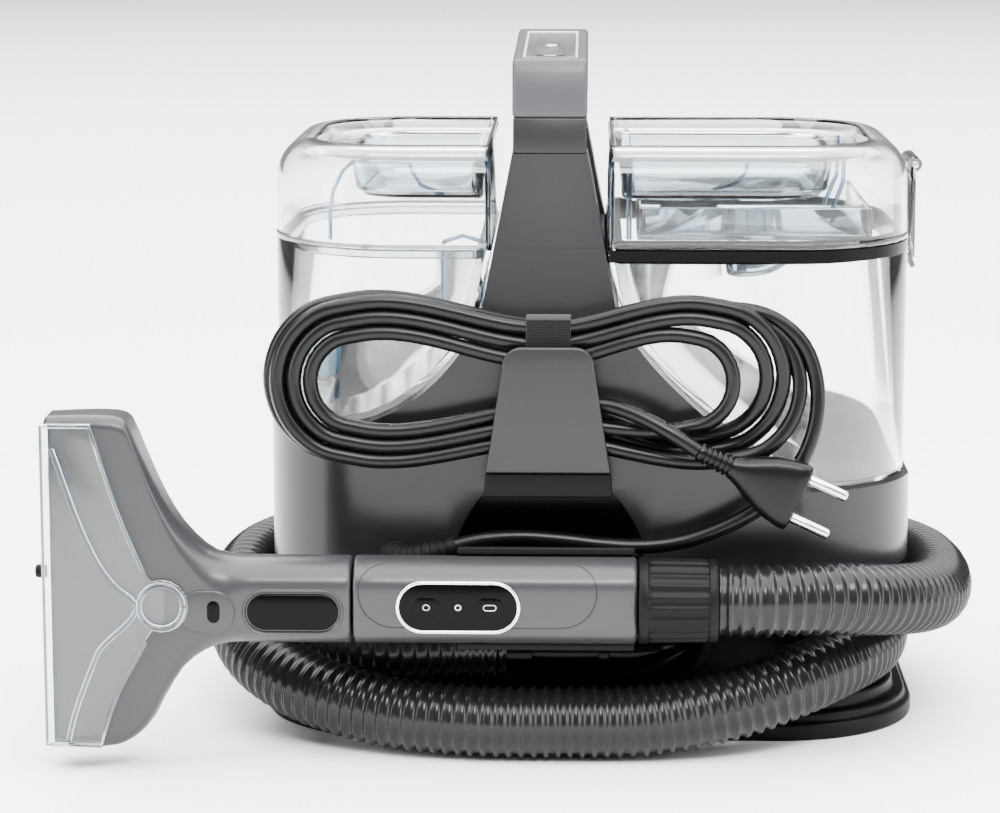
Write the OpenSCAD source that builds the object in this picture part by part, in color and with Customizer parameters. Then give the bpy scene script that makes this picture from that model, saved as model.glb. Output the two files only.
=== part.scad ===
// Portable carpet cleaner: a bell-shaped casing with a clean tank on its left, a dirty tank on its
// right, a carrying handle between them, and a hand tool on a suction hose that wraps round the base.
// The front faces -Y, +X is to the right and the machine stands on z = 0.

/* [Casing] */
// Width of the casing
body_w = 300; // [250:1:360]
// Depth of the casing
body_d = 188; // [156:1:226]
// Radius of the casing's upright corners
corner_r = 62; // [50:1:74]
// Wall of the moulded casing
wall = 2.5; // [2:0.1:3]
// Thickness of the rubber pads let into the foot plate
foot_h = 3; // [2:0.5:4]
// Height of the foot plate
plate_h = 18; // [15:1:21]
// Height of the groove that the hose wraps into
groove_h = 58; // [48:1:70]
// How far the groove is set in from the casing's front and back
groove_in = 28; // [24:1:32]
// How far the groove is set in from the casing's ends
groove_end = 30; // [26:1:34]
// Height of the clean tank's seat above the groove
seat_l_h = 67; // [56:1:80]
// Height of the dirty tank's seat above the groove
seat_r_h = 40; // [34:1:48]

/* [Tower] */
// Place of the tower's middle across the casing
tower_x = -19; // [-24:1:-14]
// Width of the tower at its top
tower_w = 34; // [30:1:41]
// Width of the tower where it starts to flare
flare_w = 62; // [54:1:74]
// Height above the groove where the tower starts to flare
flare_h = 120; // [110:1:132]
// Height of the tower above the groove
tower_h = 193; // [180:1:230]

/* [Handle] */
// Height of the dark band under the handle
band_h = 16; // [12:1:20]
// Height of the handle's front above the band
grip_h = 26; // [22:1:31]
// Rise of the handle's top from front to back
grip_rise = 6; // [4:1:8]
// Depth of the hand opening
hand_d = 96; // [84:1:110]
// Height of the hand opening below the handle
hand_h = 58; // [48:1:70]

/* [Tanks] */
// Wall of the clear tanks and lids
tank_wall = 2.2; // [1.8:0.1:2.7]
// Gap between a tank and the casing
tank_gap = 1; // [0.8:0.1:1.3]
// Height of the tanks' rim above the groove
tank_h = 150; // [140:1:168]
// Height of the lids
lid_h = 46; // [38:1:55]
// How far the lids' top edge rounds in
lid_round = 16; // [12:1:19]
// Diameter of the float
float_d = 24; // [20:1:28]

/* [Hand tool] */
// Diameter of the hand tool
tool_d = 39; // [32:1:47]
// Length of the grip
grip_l = 126; // [110:1:150]
// Length of the neck between the grip and the head
neck_l = 67; // [58:1:80]
// Width of the head's mouth
mouth_w = 148; // [124:1:177]
// Length of the head
head_l = 70; // [60:1:84]
// Thickness of the head at its mouth
mouth_t = 24; // [20:1:28]
// Length of the hose cuff
cuff_l = 36; // [30:1:43]
// Distance of the tool's axis in front of the casing
tool_out = 42; // [38:1:50]

/* [Hose and lead] */
// Outer diameter of the suction hose
hose_d = 33; // [27.5:0.5:39.5]
// Diameter of the mains lead
lead_d = 7; // [6:0.1:8.4]

/* [Inside] */
// Diameter of the suction motor
motor_d = 80; // [68:1:90]
// Diameter of the impeller
fan_d = 84; // [70:1:94]
// Diameter of the motor's shaft
shaft_d = 8; // [6:0.5:10]

/* [Hidden] */

fine = 96;
half_w = body_w / 2;
front_y = -body_d / 2;
groove_z = plate_h;
shell_z = groove_z + groove_h;
seat_l = shell_z + seat_l_h;
seat_r = shell_z + seat_r_h;
flare_z = shell_z + flare_h;
tower_z = shell_z + tower_h;
band_z = tower_z + band_h;
grip_z = band_z + grip_h;
rim_z = shell_z + tank_h;
lid_z = rim_z + lid_h;
far = half_w + 20;
joint_gap = 0.4;

// Casing front and rear split on y = 0. The tower leans back from the flare to the handle.
tower_front_top = front_y + 12;
tower_rear_top = -front_y - 18;

// The hand opening under the handle, centred a little behind the front leg
hand_z0 = band_z - hand_h;
hand_y0 = -hand_d / 2 - 4;
hand_y1 = hand_y0 + hand_d;

tool_y = front_y - tool_out;
tool_z = shell_z - 0.5;
grip_x1 = 21;
grip_x0 = grip_x1 - grip_l;
neck_x0 = grip_x0 - neck_l;
mouth_x = neck_x0 - head_l;
mouth_z = tool_z + 6.5;
face_y = tool_y - 0.85 * tool_d / 2;
button_gap = 0.3;

hook_out = 24;
hook_z = flare_z - 10;
hook_low = shell_z + 53;
hook_t = 4;

// Suction hose, from the port round the groove, twice round the front and up to the cuff
hose_route = [
    [-38, -84, 40], [-62, -84, 40], [-93, -78, 38], [-121, -55, 36], [-138, -22, 35],
    [-138, 16, 35], [-126, 49, 35], [-98, 73, 35], [-62, 84, 35], [-20, 84, 35],
    [20, 84, 35], [62, 84, 35], [100, 72, 35], [126, 48, 35], [138, 13, 35],
    [136, -24, 36], [130, -56, 36], [116, -86, 36], [94, -109, 32], [64, -121, 24],
    [28, -126, 18], [-12, -127, 17], [-52, -126, 17], [-92, -118, 19], [-128, -101, 25],
    [-154, -74, 34], [-166, -40, 45], [-167, 0, 54], [-160, 40, 57], [-141, 75, 57],
    [-108, 99, 57], [-66, 109, 57], [-22, 110, 57], [22, 110, 57], [66, 109, 57],
    [108, 99, 57], [141, 75, 57], [160, 40, 58], [166, 0, 59], [164, -38, 60],
    [154, -76, 64], [132, -108, 70], [104, -129, 75], [79, -136, 75.5], [57, -136, 75.5]];

// Mains lead, from its gland across the front to where it joins the hank
lead_route = [
    [-88, -98, 86], [-88, -102, 86], [-84, -107, 87], [-74, -109, 90], [-60, -109, 94],
    [-46, -109, 97], [-30, -109, 98], [-14, -109, 97], [4, -109, 95], [22, -109, 94],
    [40, -109, 96], [58, -109, 102], [76, -109, 112], [90, -108, 126], [98, -107, 140],
    [101, -106, 150]];

// The lead's end, from the hank to the plug
tail_route = [
    [8, -108, 159], [18, -110, 155], [27, -113, 151], [34, -117, 147], [40, -119.5, 143.7],
    [48, -120, 140]];

function curve(a, b, c, d, n) =
    [for (i = [0:n]) let (t = i / n, s = 1 - t)
        s * s * s * a + 3 * s * s * t * b + 3 * s * t * t * c + t * t * t * d];
function reversed(p) = [for (i = [len(p) - 1:-1:0]) p[i]];
function arc(cx, cy, r, a0, a1, n) =
    [for (i = [0:n]) let (a = a0 + (a1 - a0) * i / n) [cx + r * cos(a), cy + r * sin(a)]];

// Half the tower's width at a height between the flare and the top
function tower_half(z) =
    (flare_w + (tower_w - flare_w) * (z - flare_z) / (tower_z - flare_z)) / 2;

// The casing's two flanks, from the flare down to the seats, moved out by g
function flank_l(g) = let (x = tower_x - flare_w / 2)
    curve([x - g, flare_z + g], [x - 12 - g, flare_z - 26 + g],
          [x - 35 - g, seat_l + 2 + g], [-half_w + 25 - g, seat_l + g], 8);
function flank_r(g) = let (x = tower_x + flare_w / 2)
    curve([x + g, flare_z + g], [x + 13 + g, flare_z - 24 + g],
          [x + 48 + g, seat_r + 24 + g], [half_w - 50 + g, seat_r + g], 8);

// Front outline of the casing, grown by g, from z0 up to z1
function bell(g, z0, z1) = concat(
    [[-far, z0], [-far, seat_l + g]], reversed(flank_l(g)),
    [[tower_x - tower_half(z1) - g, z1], [tower_x + tower_half(z1) + g, z1]],
    flank_r(g), [[far, seat_r + g], [far, z0]]);

// Front outline of the room for a tank beside the tower, g clear of the casing, up to z1
function left_room(g, z1) = concat(
    [[-far, seat_l + g]], reversed(flank_l(g)),
    [[tower_x - tower_half(rim_z) - g, rim_z], [tower_x - tower_half(rim_z) - g, z1], [-far, z1]]);
function right_room(g, z1) = concat(
    [[far, seat_r + g]], reversed(flank_r(g)),
    [[tower_x + tower_half(rim_z) + g, rim_z], [tower_x + tower_half(rim_z) + g, z1], [far, z1]]);

// Upright prism with a rounded plan: half sizes hx and hy, corner radius r
module rounded_prism(hx, hy, r, z0, z1) {
    x = hx - r;
    y = hy - r;
    translate([-hx, -y, z0]) cube([2 * hx, 2 * y, z1 - z0]);
    translate([-x, -hy, z0]) cube([2 * x, 2 * hy, z1 - z0]);
    for (sx = [-1, 1], sy = [-1, 1])
        translate([sx * x, sy * y, z0]) cylinder(h = z1 - z0, r = r, $fn = fine);
}

// The casing's plan, set in by i
module plan_prism(i, z0, z1) {
    rounded_prism(half_w - i, -front_y - i, corner_r - i, z0, z1);
}

// The groove core's plan, set in by i: round ends that the hose lies against
module core_prism(i, z0, z1) {
    hy = -front_y - groove_in - i;
    rounded_prism(half_w - groove_end - i, hy, hy - 1, z0, z1);
}

// A front outline in x and z, as thick as y0 to y1
module front_prism(points, y0, y1) {
    translate([0, y1, 0]) rotate([90, 0, 0]) linear_extrude(y1 - y0) polygon(points);
}

// A side outline in y and z, as wide as x0 to x1
module side_prism(points, x0, x1) {
    translate([x0, 0, 0]) rotate([90, 0, 90]) linear_extrude(x1 - x0) polygon(points);
}

module x_cylinder(x0, x1, d, y, z) {
    translate([x0, y, z]) rotate([0, 90, 0]) cylinder(h = x1 - x0, d = d, $fn = fine);
}

// A flat bar with round ends along x, facing the front from y0 back to y1
module oblong(x, z, l, h, y0, y1) {
    translate([x - (l - h) / 2, y0, z - h / 2]) cube([l - h, y1 - y0, h]);
    for (s = [-1, 1])
        translate([x + s * (l - h) / 2, y1, z]) rotate([90, 0, 0]) cylinder(h = y1 - y0, d = h, $fn = 48);
}

// Tube swept along a route: rings of sides points, set square to the route
function unit(v) = v / norm(v);
function heading(p, i) = unit(p[min(i + 1, len(p) - 1)] - p[max(i - 1, 0)]);
function ring(p, i, r, sides, ref) = let (t = heading(p, i), u = unit(cross(t, ref)), v = cross(u, t))
    [for (k = [0:sides - 1]) p[i] + r * (cos(360 * k / sides) * u + sin(360 * k / sides) * v)];
module tube_along(p, d, sides, ref) {
    n = len(p);
    polyhedron(
        points = [for (i = [0:n - 1]) each ring(p, i, d / 2, sides, ref)],
        faces = concat(
            [[for (k = [0:sides - 1]) k]],
            [for (i = [0:n - 2], k = [0:sides - 1]) let (m = (k + 1) % sides)
                [i * sides + k, (i + 1) * sides + k, (i + 1) * sides + m, i * sides + m]],
            [[for (k = [sides - 1:-1:0]) (n - 1) * sides + k]]));
}

/* ---------- base ---------- */

foot_x = half_w - 45;
foot_y = -front_y - 32;
foot_d = 22;

module rubber_feet() {
    color("#1b1b1c") foot_pads(foot_d, foot_h);
}

module foot_pads(d, h) {
    for (sx = [-1, 1], sy = [-1, 1])
        translate([sx * foot_x, sy * foot_y, 0]) cylinder(h = h, d = d, $fn = 48);
}

module foot_plate() {
    color("#18181a") difference() {
        union() {
            plan_prism(-3, 0, groove_z - 10);
            plan_prism(0, groove_z - 10, groove_z - 6);
            plan_prism(6, groove_z - 6, groove_z);
        }
        core_prism(wall, floor_t, groove_z + 1);
        foot_pads(foot_d + 0.4, foot_h);
    }
}

floor_t = 5;
port_x = 38;
port_z = shell_z - 36;
port_d = 30;

module groove_core() {
    color("#141415") difference() {
        core_prism(0, groove_z, shell_z);
        core_prism(wall, groove_z - 1, shell_z + 1);
        translate([port_x, 0, port_z]) rotate([90, 0, 0]) cylinder(h = body_d, d = port_d, $fn = fine);
    }
}

/* ---------- casing ---------- */

// Side outline that leans the tower back, from the flare to the band
function lean(i) = [
    [front_y + i, 0], [front_y + i, flare_z], [tower_front_top + i, band_z], [tower_front_top + i, 400],
    [tower_rear_top - i, 400], [tower_rear_top - i, band_z], [-front_y - i, flare_z], [-front_y - i, 0]];

module hand_opening(grow) {
    translate([-far, hand_y0 - grow, hand_z0 - grow])
        cube([2 * far, hand_d + 2 * grow, hand_h + 2 * grow]);
}

// The black recess behind the hand tool
recess_d = 12;
recess_x0 = tower_x - 42;
recess_x1 = tower_x + 43;
recess_top = shell_z + 41;
recess_low = shell_z + 8;
function recess(g) = let (top = recess_top + g, a = recess_x0 - g, b = recess_x1 + g) concat(
    [[a, recess_low - g], [a, recess_low + 9]],
    curve([a + 4, recess_low + 13], [a + 12, recess_low + 22],
          [tower_x - 32 - g, top], [tower_x - 22, top], 6),
    curve([tower_x + 22, top], [tower_x + 32 + g, top],
          [b - 12, recess_low + 22], [b - 4, recess_low + 13], 6),
    [[b, recess_low + 9], [b, recess_low - g]]);

screw_x = half_w - corner_r;
screw_d = 7;

module casing(y0, y1, z0, z1) {
    difference() {
        intersection() {
            front_prism(bell(0, shell_z, tower_z), y0, y1);
            plan_prism(0, z0, z1);
            side_prism(lean(0), -far, far);
        }
        difference() {
            intersection() {
                front_prism(bell(-wall, shell_z + wall, tower_z - wall), y0 - 1, y1 + 1);
                plan_prism(wall, shell_z + wall, tower_z);
                side_prism(lean(wall), -far, far);
            }
            hand_opening(wall);
            front_prism(recess(wall), front_y - 1, front_y + recess_d + wall);
        }
        hand_opening(0);
        core_prism(wall, shell_z - 1, shell_z + wall + 1);
    }
}

gland_x = -88;
gland_z = shell_z + 10;
gland_d = 11;

module front_casing() {
    color("#3a3a3d") difference() {
        casing(front_y - 1, 0, shell_z, flare_z);
        front_prism(recess(0), front_y - 1, front_y + recess_d);
        translate([gland_x, front_y + 10, gland_z]) rotate([90, 0, 0]) cylinder(h = 20, d = gland_d, $fn = 48);
    }
}

vent_w = 96;
vent_h = 24;
vent_z = shell_z + 20;

module rear_casing() {
    color("#3a3a3d") difference() {
        casing(0, -front_y + 1, shell_z, flare_z);
        translate([-vent_w / 2, -front_y - 10, vent_z - vent_h / 2]) cube([vent_w, 20, vent_h]);
        for (sx = [-1, 1])
            translate([sx * screw_x, -front_y + 5, vent_z]) rotate([90, 0, 0])
                cylinder(h = 15, d = screw_d, $fn = 48);
    }
}

module front_tower() {
    color("#3a3a3d") casing(front_y - 1, 0, flare_z, tower_z);
}

module rear_tower() {
    color("#3a3a3d") casing(0, -front_y + 1, flare_z, tower_z);
}

module recess_liner() {
    color("#101011") front_prism(recess(0), front_y + recess_d - 1.5, front_y + recess_d);
}

module vent_grille() {
    color("#161617") difference() {
        translate([-vent_w / 2 + 0.2, -front_y - wall, vent_z - vent_h / 2 + 0.2])
            cube([vent_w - 0.4, wall, vent_h - 0.4]);
        for (i = [-7:7])
            translate([i * 6 - 1.5, -front_y - wall - 1, vent_z - vent_h / 2 + 4])
                cube([3, wall + 2, vent_h - 8]);
    }
}

module casing_screws() {
    color("#8b8d90") {
        for (sx = [-1, 1])
            translate([sx * screw_x, -front_y, vent_z]) rotate([90, 0, 0])
                difference() {
                    cylinder(h = wall + 8, d = screw_d - 0.4, $fn = 48);
                    translate([0, 0, -1]) cylinder(h = 2.2, d = 3, $fn = 6);
                }
    }
}

/* ---------- handle ---------- */

handle_x0 = tower_x - tower_w / 2;
handle_x1 = tower_x + tower_w / 2;

module tower_band() {
    color("#2c2c2f") difference() {
        intersection() {
            translate([handle_x0 + 0.4, -far, tower_z]) cube([tower_w - 0.8, 2 * far, band_h]);
            side_prism(lean(0.4), -far, far);
        }
        hand_opening(0);
        for (y = [tower_front_top + 5, hand_y1 + 5])
            translate([handle_x0 + 5, y, tower_z - 1]) cube([tower_w - 10, 10, band_h + 2]);
    }
}

// Side outline of the grip: a front leg, a rising top and a rounded tail
handle_y0 = tower_front_top;
handle_y1 = tower_rear_top;
function grip_top(y) = grip_z + grip_rise * (y - handle_y0) / (handle_y1 - handle_y0);
handle_side = concat(
    [[handle_y0, band_z], [handle_y0 + 1, grip_z - 6]],
    [[handle_y0 + 5, grip_top(handle_y0 + 5)], [handle_y1 - 24, grip_top(handle_y1 - 24)]],
    curve([handle_y1 - 16, grip_top(handle_y1 - 24)], [handle_y1 - 6, grip_top(handle_y1 - 24)],
          [handle_y1, grip_z - 8], [handle_y1, band_z], 6));
handle_front = [
    [handle_x0, band_z], [handle_x1, band_z], [handle_x1, grip_z + 20], [handle_x0, grip_z + 20]];
panel_y0 = handle_y0 + 12;
panel_y1 = handle_y1 - 30;
panel_w = tower_w - 9;
panel_t = 1.6;

// The slot and the inset pieces on the sloping top of the handle
module on_top(y0, y1, w, t0, t1) {
    side_prism([[y0, grip_top(y0) - t1], [y1, grip_top(y1) - t1],
                [y1, grip_top(y1) - t0], [y0, grip_top(y0) - t0]], tower_x - w / 2, tower_x + w / 2);
}

power_y = panel_y0 + 13;
power_d = 13;
lens_y = panel_y0 + 50;

module button_hole(y, d, depth) {
    translate([tower_x, y, grip_top(y) - depth]) cylinder(h = depth + 5, d = d, $fn = 48);
}

module handle() {
    color("#55565a") difference() {
        intersection() {
            side_prism(handle_side, handle_x0, handle_x1);
            front_prism(handle_front, -far, far);
        }
        translate([-far, hand_y0, band_z - 1]) cube([2 * far, hand_d, 5]);
        on_top(panel_y0, panel_y1, panel_w, -5, 2.2);
        translate([handle_x0 + 4, panel_y0 + 2, band_z + 7])
            cube([tower_w - 8, panel_y1 - panel_y0 - 4, grip_h - 11]);
        for (y = [tower_front_top + 5, hand_y1 + 5])
            translate([handle_x0 + 5, y, band_z - 1]) cube([tower_w - 10, 10, 6]);
        button_hole(power_y, power_d, 14);
    }
}

module handle_panel_trim() {
    color("#c9cacc") difference() {
        on_top(panel_y0, panel_y1, panel_w, 0, 2.2);
        on_top(panel_y0 + 1.2, panel_y1 - 1.2, panel_w - 2.4, -1, 3);
    }
}

module handle_panel() {
    color("#2a2b2e") difference() {
        on_top(panel_y0 + 1.3, panel_y1 - 1.3, panel_w - 2.6, 0.5, 2.2);
        button_hole(power_y, power_d, 14);
        button_hole(lens_y, 4, 14);
    }
}

module power_button() {
    color("#3b3c40") {
        translate([tower_x, power_y, grip_top(power_y) - 2.1]) cylinder(h = 2.5, d = power_d - 2 * button_gap, $fn = 48);
        translate([tower_x, power_y, grip_top(power_y) - 4.4]) cylinder(h = 2.8, d = power_d - 5, $fn = 48);
    }
}

module indicator_lens() {
    color("#dfe6ea") translate([tower_x, lens_y, grip_top(lens_y) - 2.1]) cylinder(h = 2, d = 3.8, $fn = 24);
}

module control_board() {
    color("#1f5f3a") difference() {
        translate([handle_x0 + 5, panel_y0 + 4, band_z + 8]) cube([tower_w - 10, panel_y1 - panel_y0 - 8, 1.6]);
        translate([handle_x0 + 9, panel_y0 + 8, band_z + 7]) cylinder(h = 4, d = 3, $fn = 24);
    }
}

/* ---------- hook and cradle ---------- */

hook_y = front_y - hook_out;
hook_points = concat(
    [[tower_x - 28, hook_low], [tower_x - 20.5, hook_z - 9]],
    arc(tower_x - 12, hook_z - 8.5, 8.5, 176, 90, 6),
    arc(tower_x + 12, hook_z - 8.5, 8.5, 90, 4, 6),
    [[tower_x + 20.5, hook_z - 9], [tower_x + 28, hook_low]]);
stem_z = hook_z - 19;

module hook_plate() {
    color("#5a5b5f") union() {
        front_prism(hook_points, hook_y, hook_y + hook_t);
        translate([tower_x - 13, hook_y + hook_t - 0.5, stem_z - 4]) cube([26, hook_out - hook_t + 0.5, 8]);
    }
}

module hook_bracket() {
    color("#2b2c2e") front_prism(
        [[tower_x - 28, hook_low - 0.3], [tower_x - 29, recess_top + 0.5],
         [tower_x + 29, recess_top + 0.5], [tower_x + 28, hook_low - 0.3]],
        hook_y + 1.5, front_y);
}

cradle_gap = 0.5;
cradle_t = 3.5;
cradle_x0 = recess_x0 + 2;
cradle_x1 = grip_x1 - 1;

module tool_cradle() {
    color("#161617") difference() {
        union() {
            x_cylinder(cradle_x0, cradle_x1, tool_d + 2 * (cradle_gap + cradle_t), tool_y, tool_z);
            translate([cradle_x0, tool_y + tool_d / 2, shell_z + wall]) cube([cradle_x1 - cradle_x0, tool_out - tool_d / 2, 9]);
        }
        x_cylinder(cradle_x0 - 1, cradle_x1 + 1, tool_d + 2 * cradle_gap, tool_y, tool_z);
        translate([cradle_x0 - 1, tool_y - tool_d, tool_z - tool_d]) cube([cradle_x1 - cradle_x0 + 2, tool_d, 2 * tool_d]);
    }
}

/* ---------- hose port and gland ---------- */

pipe_y = front_y + 10;
pipe_x0 = -38;
elbow_r = 22;

module hose_port() {
    color("#141415") difference() {
        union() {
            x_cylinder(pipe_x0, port_x - elbow_r, port_d - 0.4, pipe_y, port_z);
            x_cylinder(pipe_x0, pipe_x0 + 12, hose_d + 3, pipe_y, port_z);
            x_cylinder(pipe_x0 + 42, pipe_x0 + 47, port_d + 4, pipe_y, port_z);
            translate([port_x - elbow_r, pipe_y + elbow_r, port_z]) rotate([0, 0, -90])
                rotate_extrude(angle = 90, $fn = fine) translate([elbow_r, 0]) circle(d = port_d - 0.4, $fn = 48);
        }
        x_cylinder(pipe_x0 - 1, port_x - elbow_r, port_d - 5, pipe_y, port_z);
        translate([port_x - elbow_r, pipe_y + elbow_r, port_z]) rotate([0, 0, -90])
            rotate_extrude(angle = 90, $fn = fine) translate([elbow_r, 0]) circle(d = port_d - 5, $fn = 48);
    }
}

module port_seal() {
    color("#0e0e0f") translate([port_x, front_y + groove_in, port_z]) rotate([90, 0, 0]) difference() {
        cylinder(h = 2, d = port_d + 8, $fn = fine);
        translate([0, 0, -1]) cylinder(h = 4, d = port_d, $fn = fine);
    }
}

module lead_gland() {
    color("#111112") translate([gland_x, front_y + 6, gland_z]) rotate([90, 0, 0]) {
        cylinder(h = 6, d = gland_d, $fn = 48);
        translate([0, 0, 6]) cylinder(h = 4, d = gland_d + 4, $fn = 48);
    }
}

/* ---------- inside ---------- */

motor_x = tower_x;
motor_z0 = groove_z + 8;
motor_z1 = shell_z + 14;
fan_z0 = motor_z1 + 6;
fan_z1 = fan_z0 + 26;

module suction_motor() {
    color("#77797c") difference() {
        union() {
            translate([motor_x, 0, motor_z0]) cylinder(h = motor_z1 - motor_z0, d = motor_d, $fn = fine);
            translate([motor_x, 0, motor_z0 - 4]) cylinder(h = 4, d = motor_d * 0.5, $fn = fine);
        }
        translate([motor_x, 0, motor_z0 + 10]) cylinder(h = motor_z1, d = shaft_d + 0.1, $fn = 48);
    }
}

module motor_mount() {
    color("#1c1c1d") difference() {
        translate([motor_x, 0, floor_t]) cylinder(h = motor_z0 - floor_t + 12, d = motor_d + 12, $fn = fine);
        translate([motor_x, 0, motor_z0]) cylinder(h = 20, d = motor_d, $fn = fine);
        translate([motor_x, 0, 0]) cylinder(h = motor_z0 + 1, d = motor_d - 8, $fn = fine);
    }
}

module motor_shaft() {
    color("#c4c6c8") translate([motor_x, 0, motor_z0 + 12]) cylinder(h = fan_z1 - motor_z0 - 18, d = shaft_d, $fn = 48);
}

module impeller() {
    color("#a9abae") difference() {
        union() {
            translate([motor_x, 0, fan_z0 + 2.5]) cylinder(h = 2, d = fan_d, $fn = fine);
            translate([motor_x, 0, fan_z0 + 2.5]) cylinder(h = 16, d = 20, $fn = fine);
            for (a = [0:40:320])
                translate([motor_x, 0, fan_z0 + 4]) rotate([0, 0, a])
                    translate([9, 0, 0]) rotate([0, 0, 24]) cube([fan_d / 2 - 13, 1.6, 13]);
        }
        translate([motor_x, 0, fan_z0]) cylinder(h = 30, d = shaft_d, $fn = 48);
    }
}

module fan_cover() {
    color("#333437") difference() {
        translate([motor_x, 0, motor_z1]) cylinder(h = fan_z1 - motor_z1, d = fan_d + 12, $fn = fine);
        translate([motor_x, 0, fan_z0]) cylinder(h = fan_z1 - fan_z0 - 3, d = fan_d + 6, $fn = fine);
        translate([motor_x, 0, motor_z1 - 1]) cylinder(h = 60, d = 30, $fn = fine);
    }
}

module suction_duct() {
    color("#26272a") translate([motor_x, 20, 0]) difference() {
        translate([0, -20, fan_z1]) cylinder(h = hand_z0 - wall - 4 - fan_z1, d = 38, $fn = fine);
        translate([0, -20, fan_z1 - 1]) cylinder(h = hand_z0 - wall - 6 - fan_z1, d = 33, $fn = fine);
    }
}

pump_x = -half_w + 66;
pump_y = 5;
pump_y0 = front_y + groove_in + 26;
pump_d = 34;

module water_pump() {
    color("#4a4c50") {
        translate([pump_x, pump_y0, groove_z + 24]) rotate([-90, 0, 0])
            cylinder(h = pump_y - 9 - pump_y0, d = pump_d, $fn = fine);
        translate([pump_x - 13, pump_y - 9, groove_z + 10]) cube([26, 18, 28]);
        translate([pump_x - 14, pump_y0 + 9, floor_t])
            cube([28, pump_y - 23 - pump_y0, groove_z + 24 - floor_t - pump_d / 2 + 3]);
    }
}

valve_x = -half_w + 21;
tube_d = 8;
tube_z = shell_z + 14;

module water_tube() {
    color("#d6dadc") {
        translate([valve_x, pump_y, tube_z]) cylinder(h = seat_l - wall - tube_z, d = tube_d, $fn = 32);
        x_cylinder(valve_x, pump_x, tube_d, pump_y, tube_z);
        for (x = [valve_x, pump_x]) translate([x, pump_y, tube_z]) sphere(d = tube_d, $fn = 32);
        translate([pump_x, pump_y, groove_z + 38]) cylinder(h = tube_z - groove_z - 38, d = tube_d, $fn = 32);
    }
}

/* ---------- clean tank ---------- */

tank_in = 3;
lip_h = 6;

module tank_plan(i, z0, z1) {
    plan_prism(tank_in + i, z0, z1);
}

// Rounded dome that both lids are cut from
module lid_dome(i, drop) {
    x = half_w - corner_r;
    y = -front_y - corner_r;
    r = corner_r - tank_in - i;
    hull() for (sx = [-1, 1], sy = [-1, 1]) translate([sx * x, sy * y, 0]) {
        translate([0, 0, rim_z - 20]) cylinder(h = lid_h + 20 - lid_round - drop, r = r, $fn = 48);
        translate([0, 0, rim_z]) cylinder(h = lid_h - lid_round * 0.3 - drop, r = r - lid_round * 0.3, $fn = 48);
        translate([0, 0, rim_z]) cylinder(h = lid_h - drop, r = r - lid_round, $fn = 48);
    }
}

valve_d = 16;

module clean_tank() {
    color("#dfe7ea", 0.45) difference() {
        intersection() {
            front_prism(left_room(tank_gap, rim_z), -far, far);
            tank_plan(0, shell_z, rim_z);
        }
        intersection() {
            front_prism(left_room(tank_gap + tank_wall, rim_z + 1), -far, far);
            tank_plan(tank_wall, shell_z, rim_z + 1);
        }
        translate([valve_x, pump_y, seat_l]) cylinder(h = 20, d = valve_d - 6, $fn = 48);
    }
}

// Lid wall between two heights, cut to the room beside the tower on the side s
module lid_part(side, gap) {
    x = side < 0 ? tower_x - tower_half(rim_z) - gap : tower_x + tower_half(rim_z) + gap;
    translate([side < 0 ? -far : x, -far, rim_z + joint_gap]) cube([side < 0 ? x + far : far - x, 2 * far, lid_h]);
}

pocket_z = rim_z + 20;

module lid_shell(side, pocket_x, pocket_l, pocket_d) {
    x0 = pocket_x - pocket_l / 2;
    difference() {
        intersection() {
            lid_dome(0, 0);
            lid_part(side, tank_gap);
        }
        difference() {
            intersection() {
                lid_dome(tank_wall, tank_wall);
                translate([0, 0, -1]) lid_part(side, tank_gap + tank_wall);
            }
            translate([x0, -pocket_d / 2, pocket_z]) cube([pocket_l, pocket_d, lid_h]);
        }
        translate([x0 + tank_wall, -pocket_d / 2 + tank_wall, pocket_z + tank_wall])
            cube([pocket_l - 2 * tank_wall, pocket_d - 2 * tank_wall, lid_h]);
    }
}

// Lip under a lid that locates it inside the tank's rim
module lid_lip(side) {
    intersection() {
        difference() {
            union() {
                tank_plan(tank_wall + joint_gap, rim_z - lip_h, rim_z + joint_gap + 2);
                tank_plan(tank_wall / 2, rim_z + joint_gap, rim_z + joint_gap + 2);
            }
            tank_plan(2 * tank_wall + joint_gap, rim_z - lip_h - 1, rim_z + joint_gap + 3);
        }
        lid_part_low(side, tank_gap + tank_wall + joint_gap + 1.5);
    }
}

clean_pocket_x = -half_w + 74;
dirty_pocket_x = half_w - 56;
pocket_l = 46;
pocket_d = 78;

module clean_lid() {
    color("#d8e4ea", 0.45) union() {
        lid_shell(-1, clean_pocket_x, pocket_l, pocket_d);
        lid_lip(-1);
    }
}

// Rubber ring round a lid's lip
module lip_seal(side) {
    difference() {
        intersection() {
            tank_plan(2 * tank_wall + joint_gap, rim_z - lip_h, rim_z);
            lid_part_low(side, 2 * tank_wall + tank_gap + 3);
        }
        intersection() {
            tank_plan(2 * tank_wall + joint_gap + 3, rim_z - lip_h - 1, rim_z + 1);
            lid_part_low(side, 2 * tank_wall + tank_gap + 6);
        }
    }
}

module lid_part_low(side, gap) {
    translate([0, 0, -2 * lip_h]) lid_part(side, gap);
}

module clean_seal() {
    color("#5d6468") lip_seal(-1);
}

module clean_valve() {
    color("#2d6f8f") {
        translate([valve_x, pump_y, seat_l + tank_gap + tank_wall + 2.5]) cylinder(h = 10, d = valve_d, $fn = 48);
        translate([valve_x, pump_y, seat_l + tank_gap + tank_wall + 1.2]) cylinder(h = 4, d = valve_d - 7, $fn = 48);
    }
}

/* ---------- dirty tank ---------- */

catch_z = rim_z - 7;

module dirty_tank() {
    color("#dfe7ea", 0.45) {
        dirty_shell();
        translate([half_w - tank_in - 1, -latch_w / 2 + 4, catch_z]) cube([3, latch_w - 8, 3]);
    }
}

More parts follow.
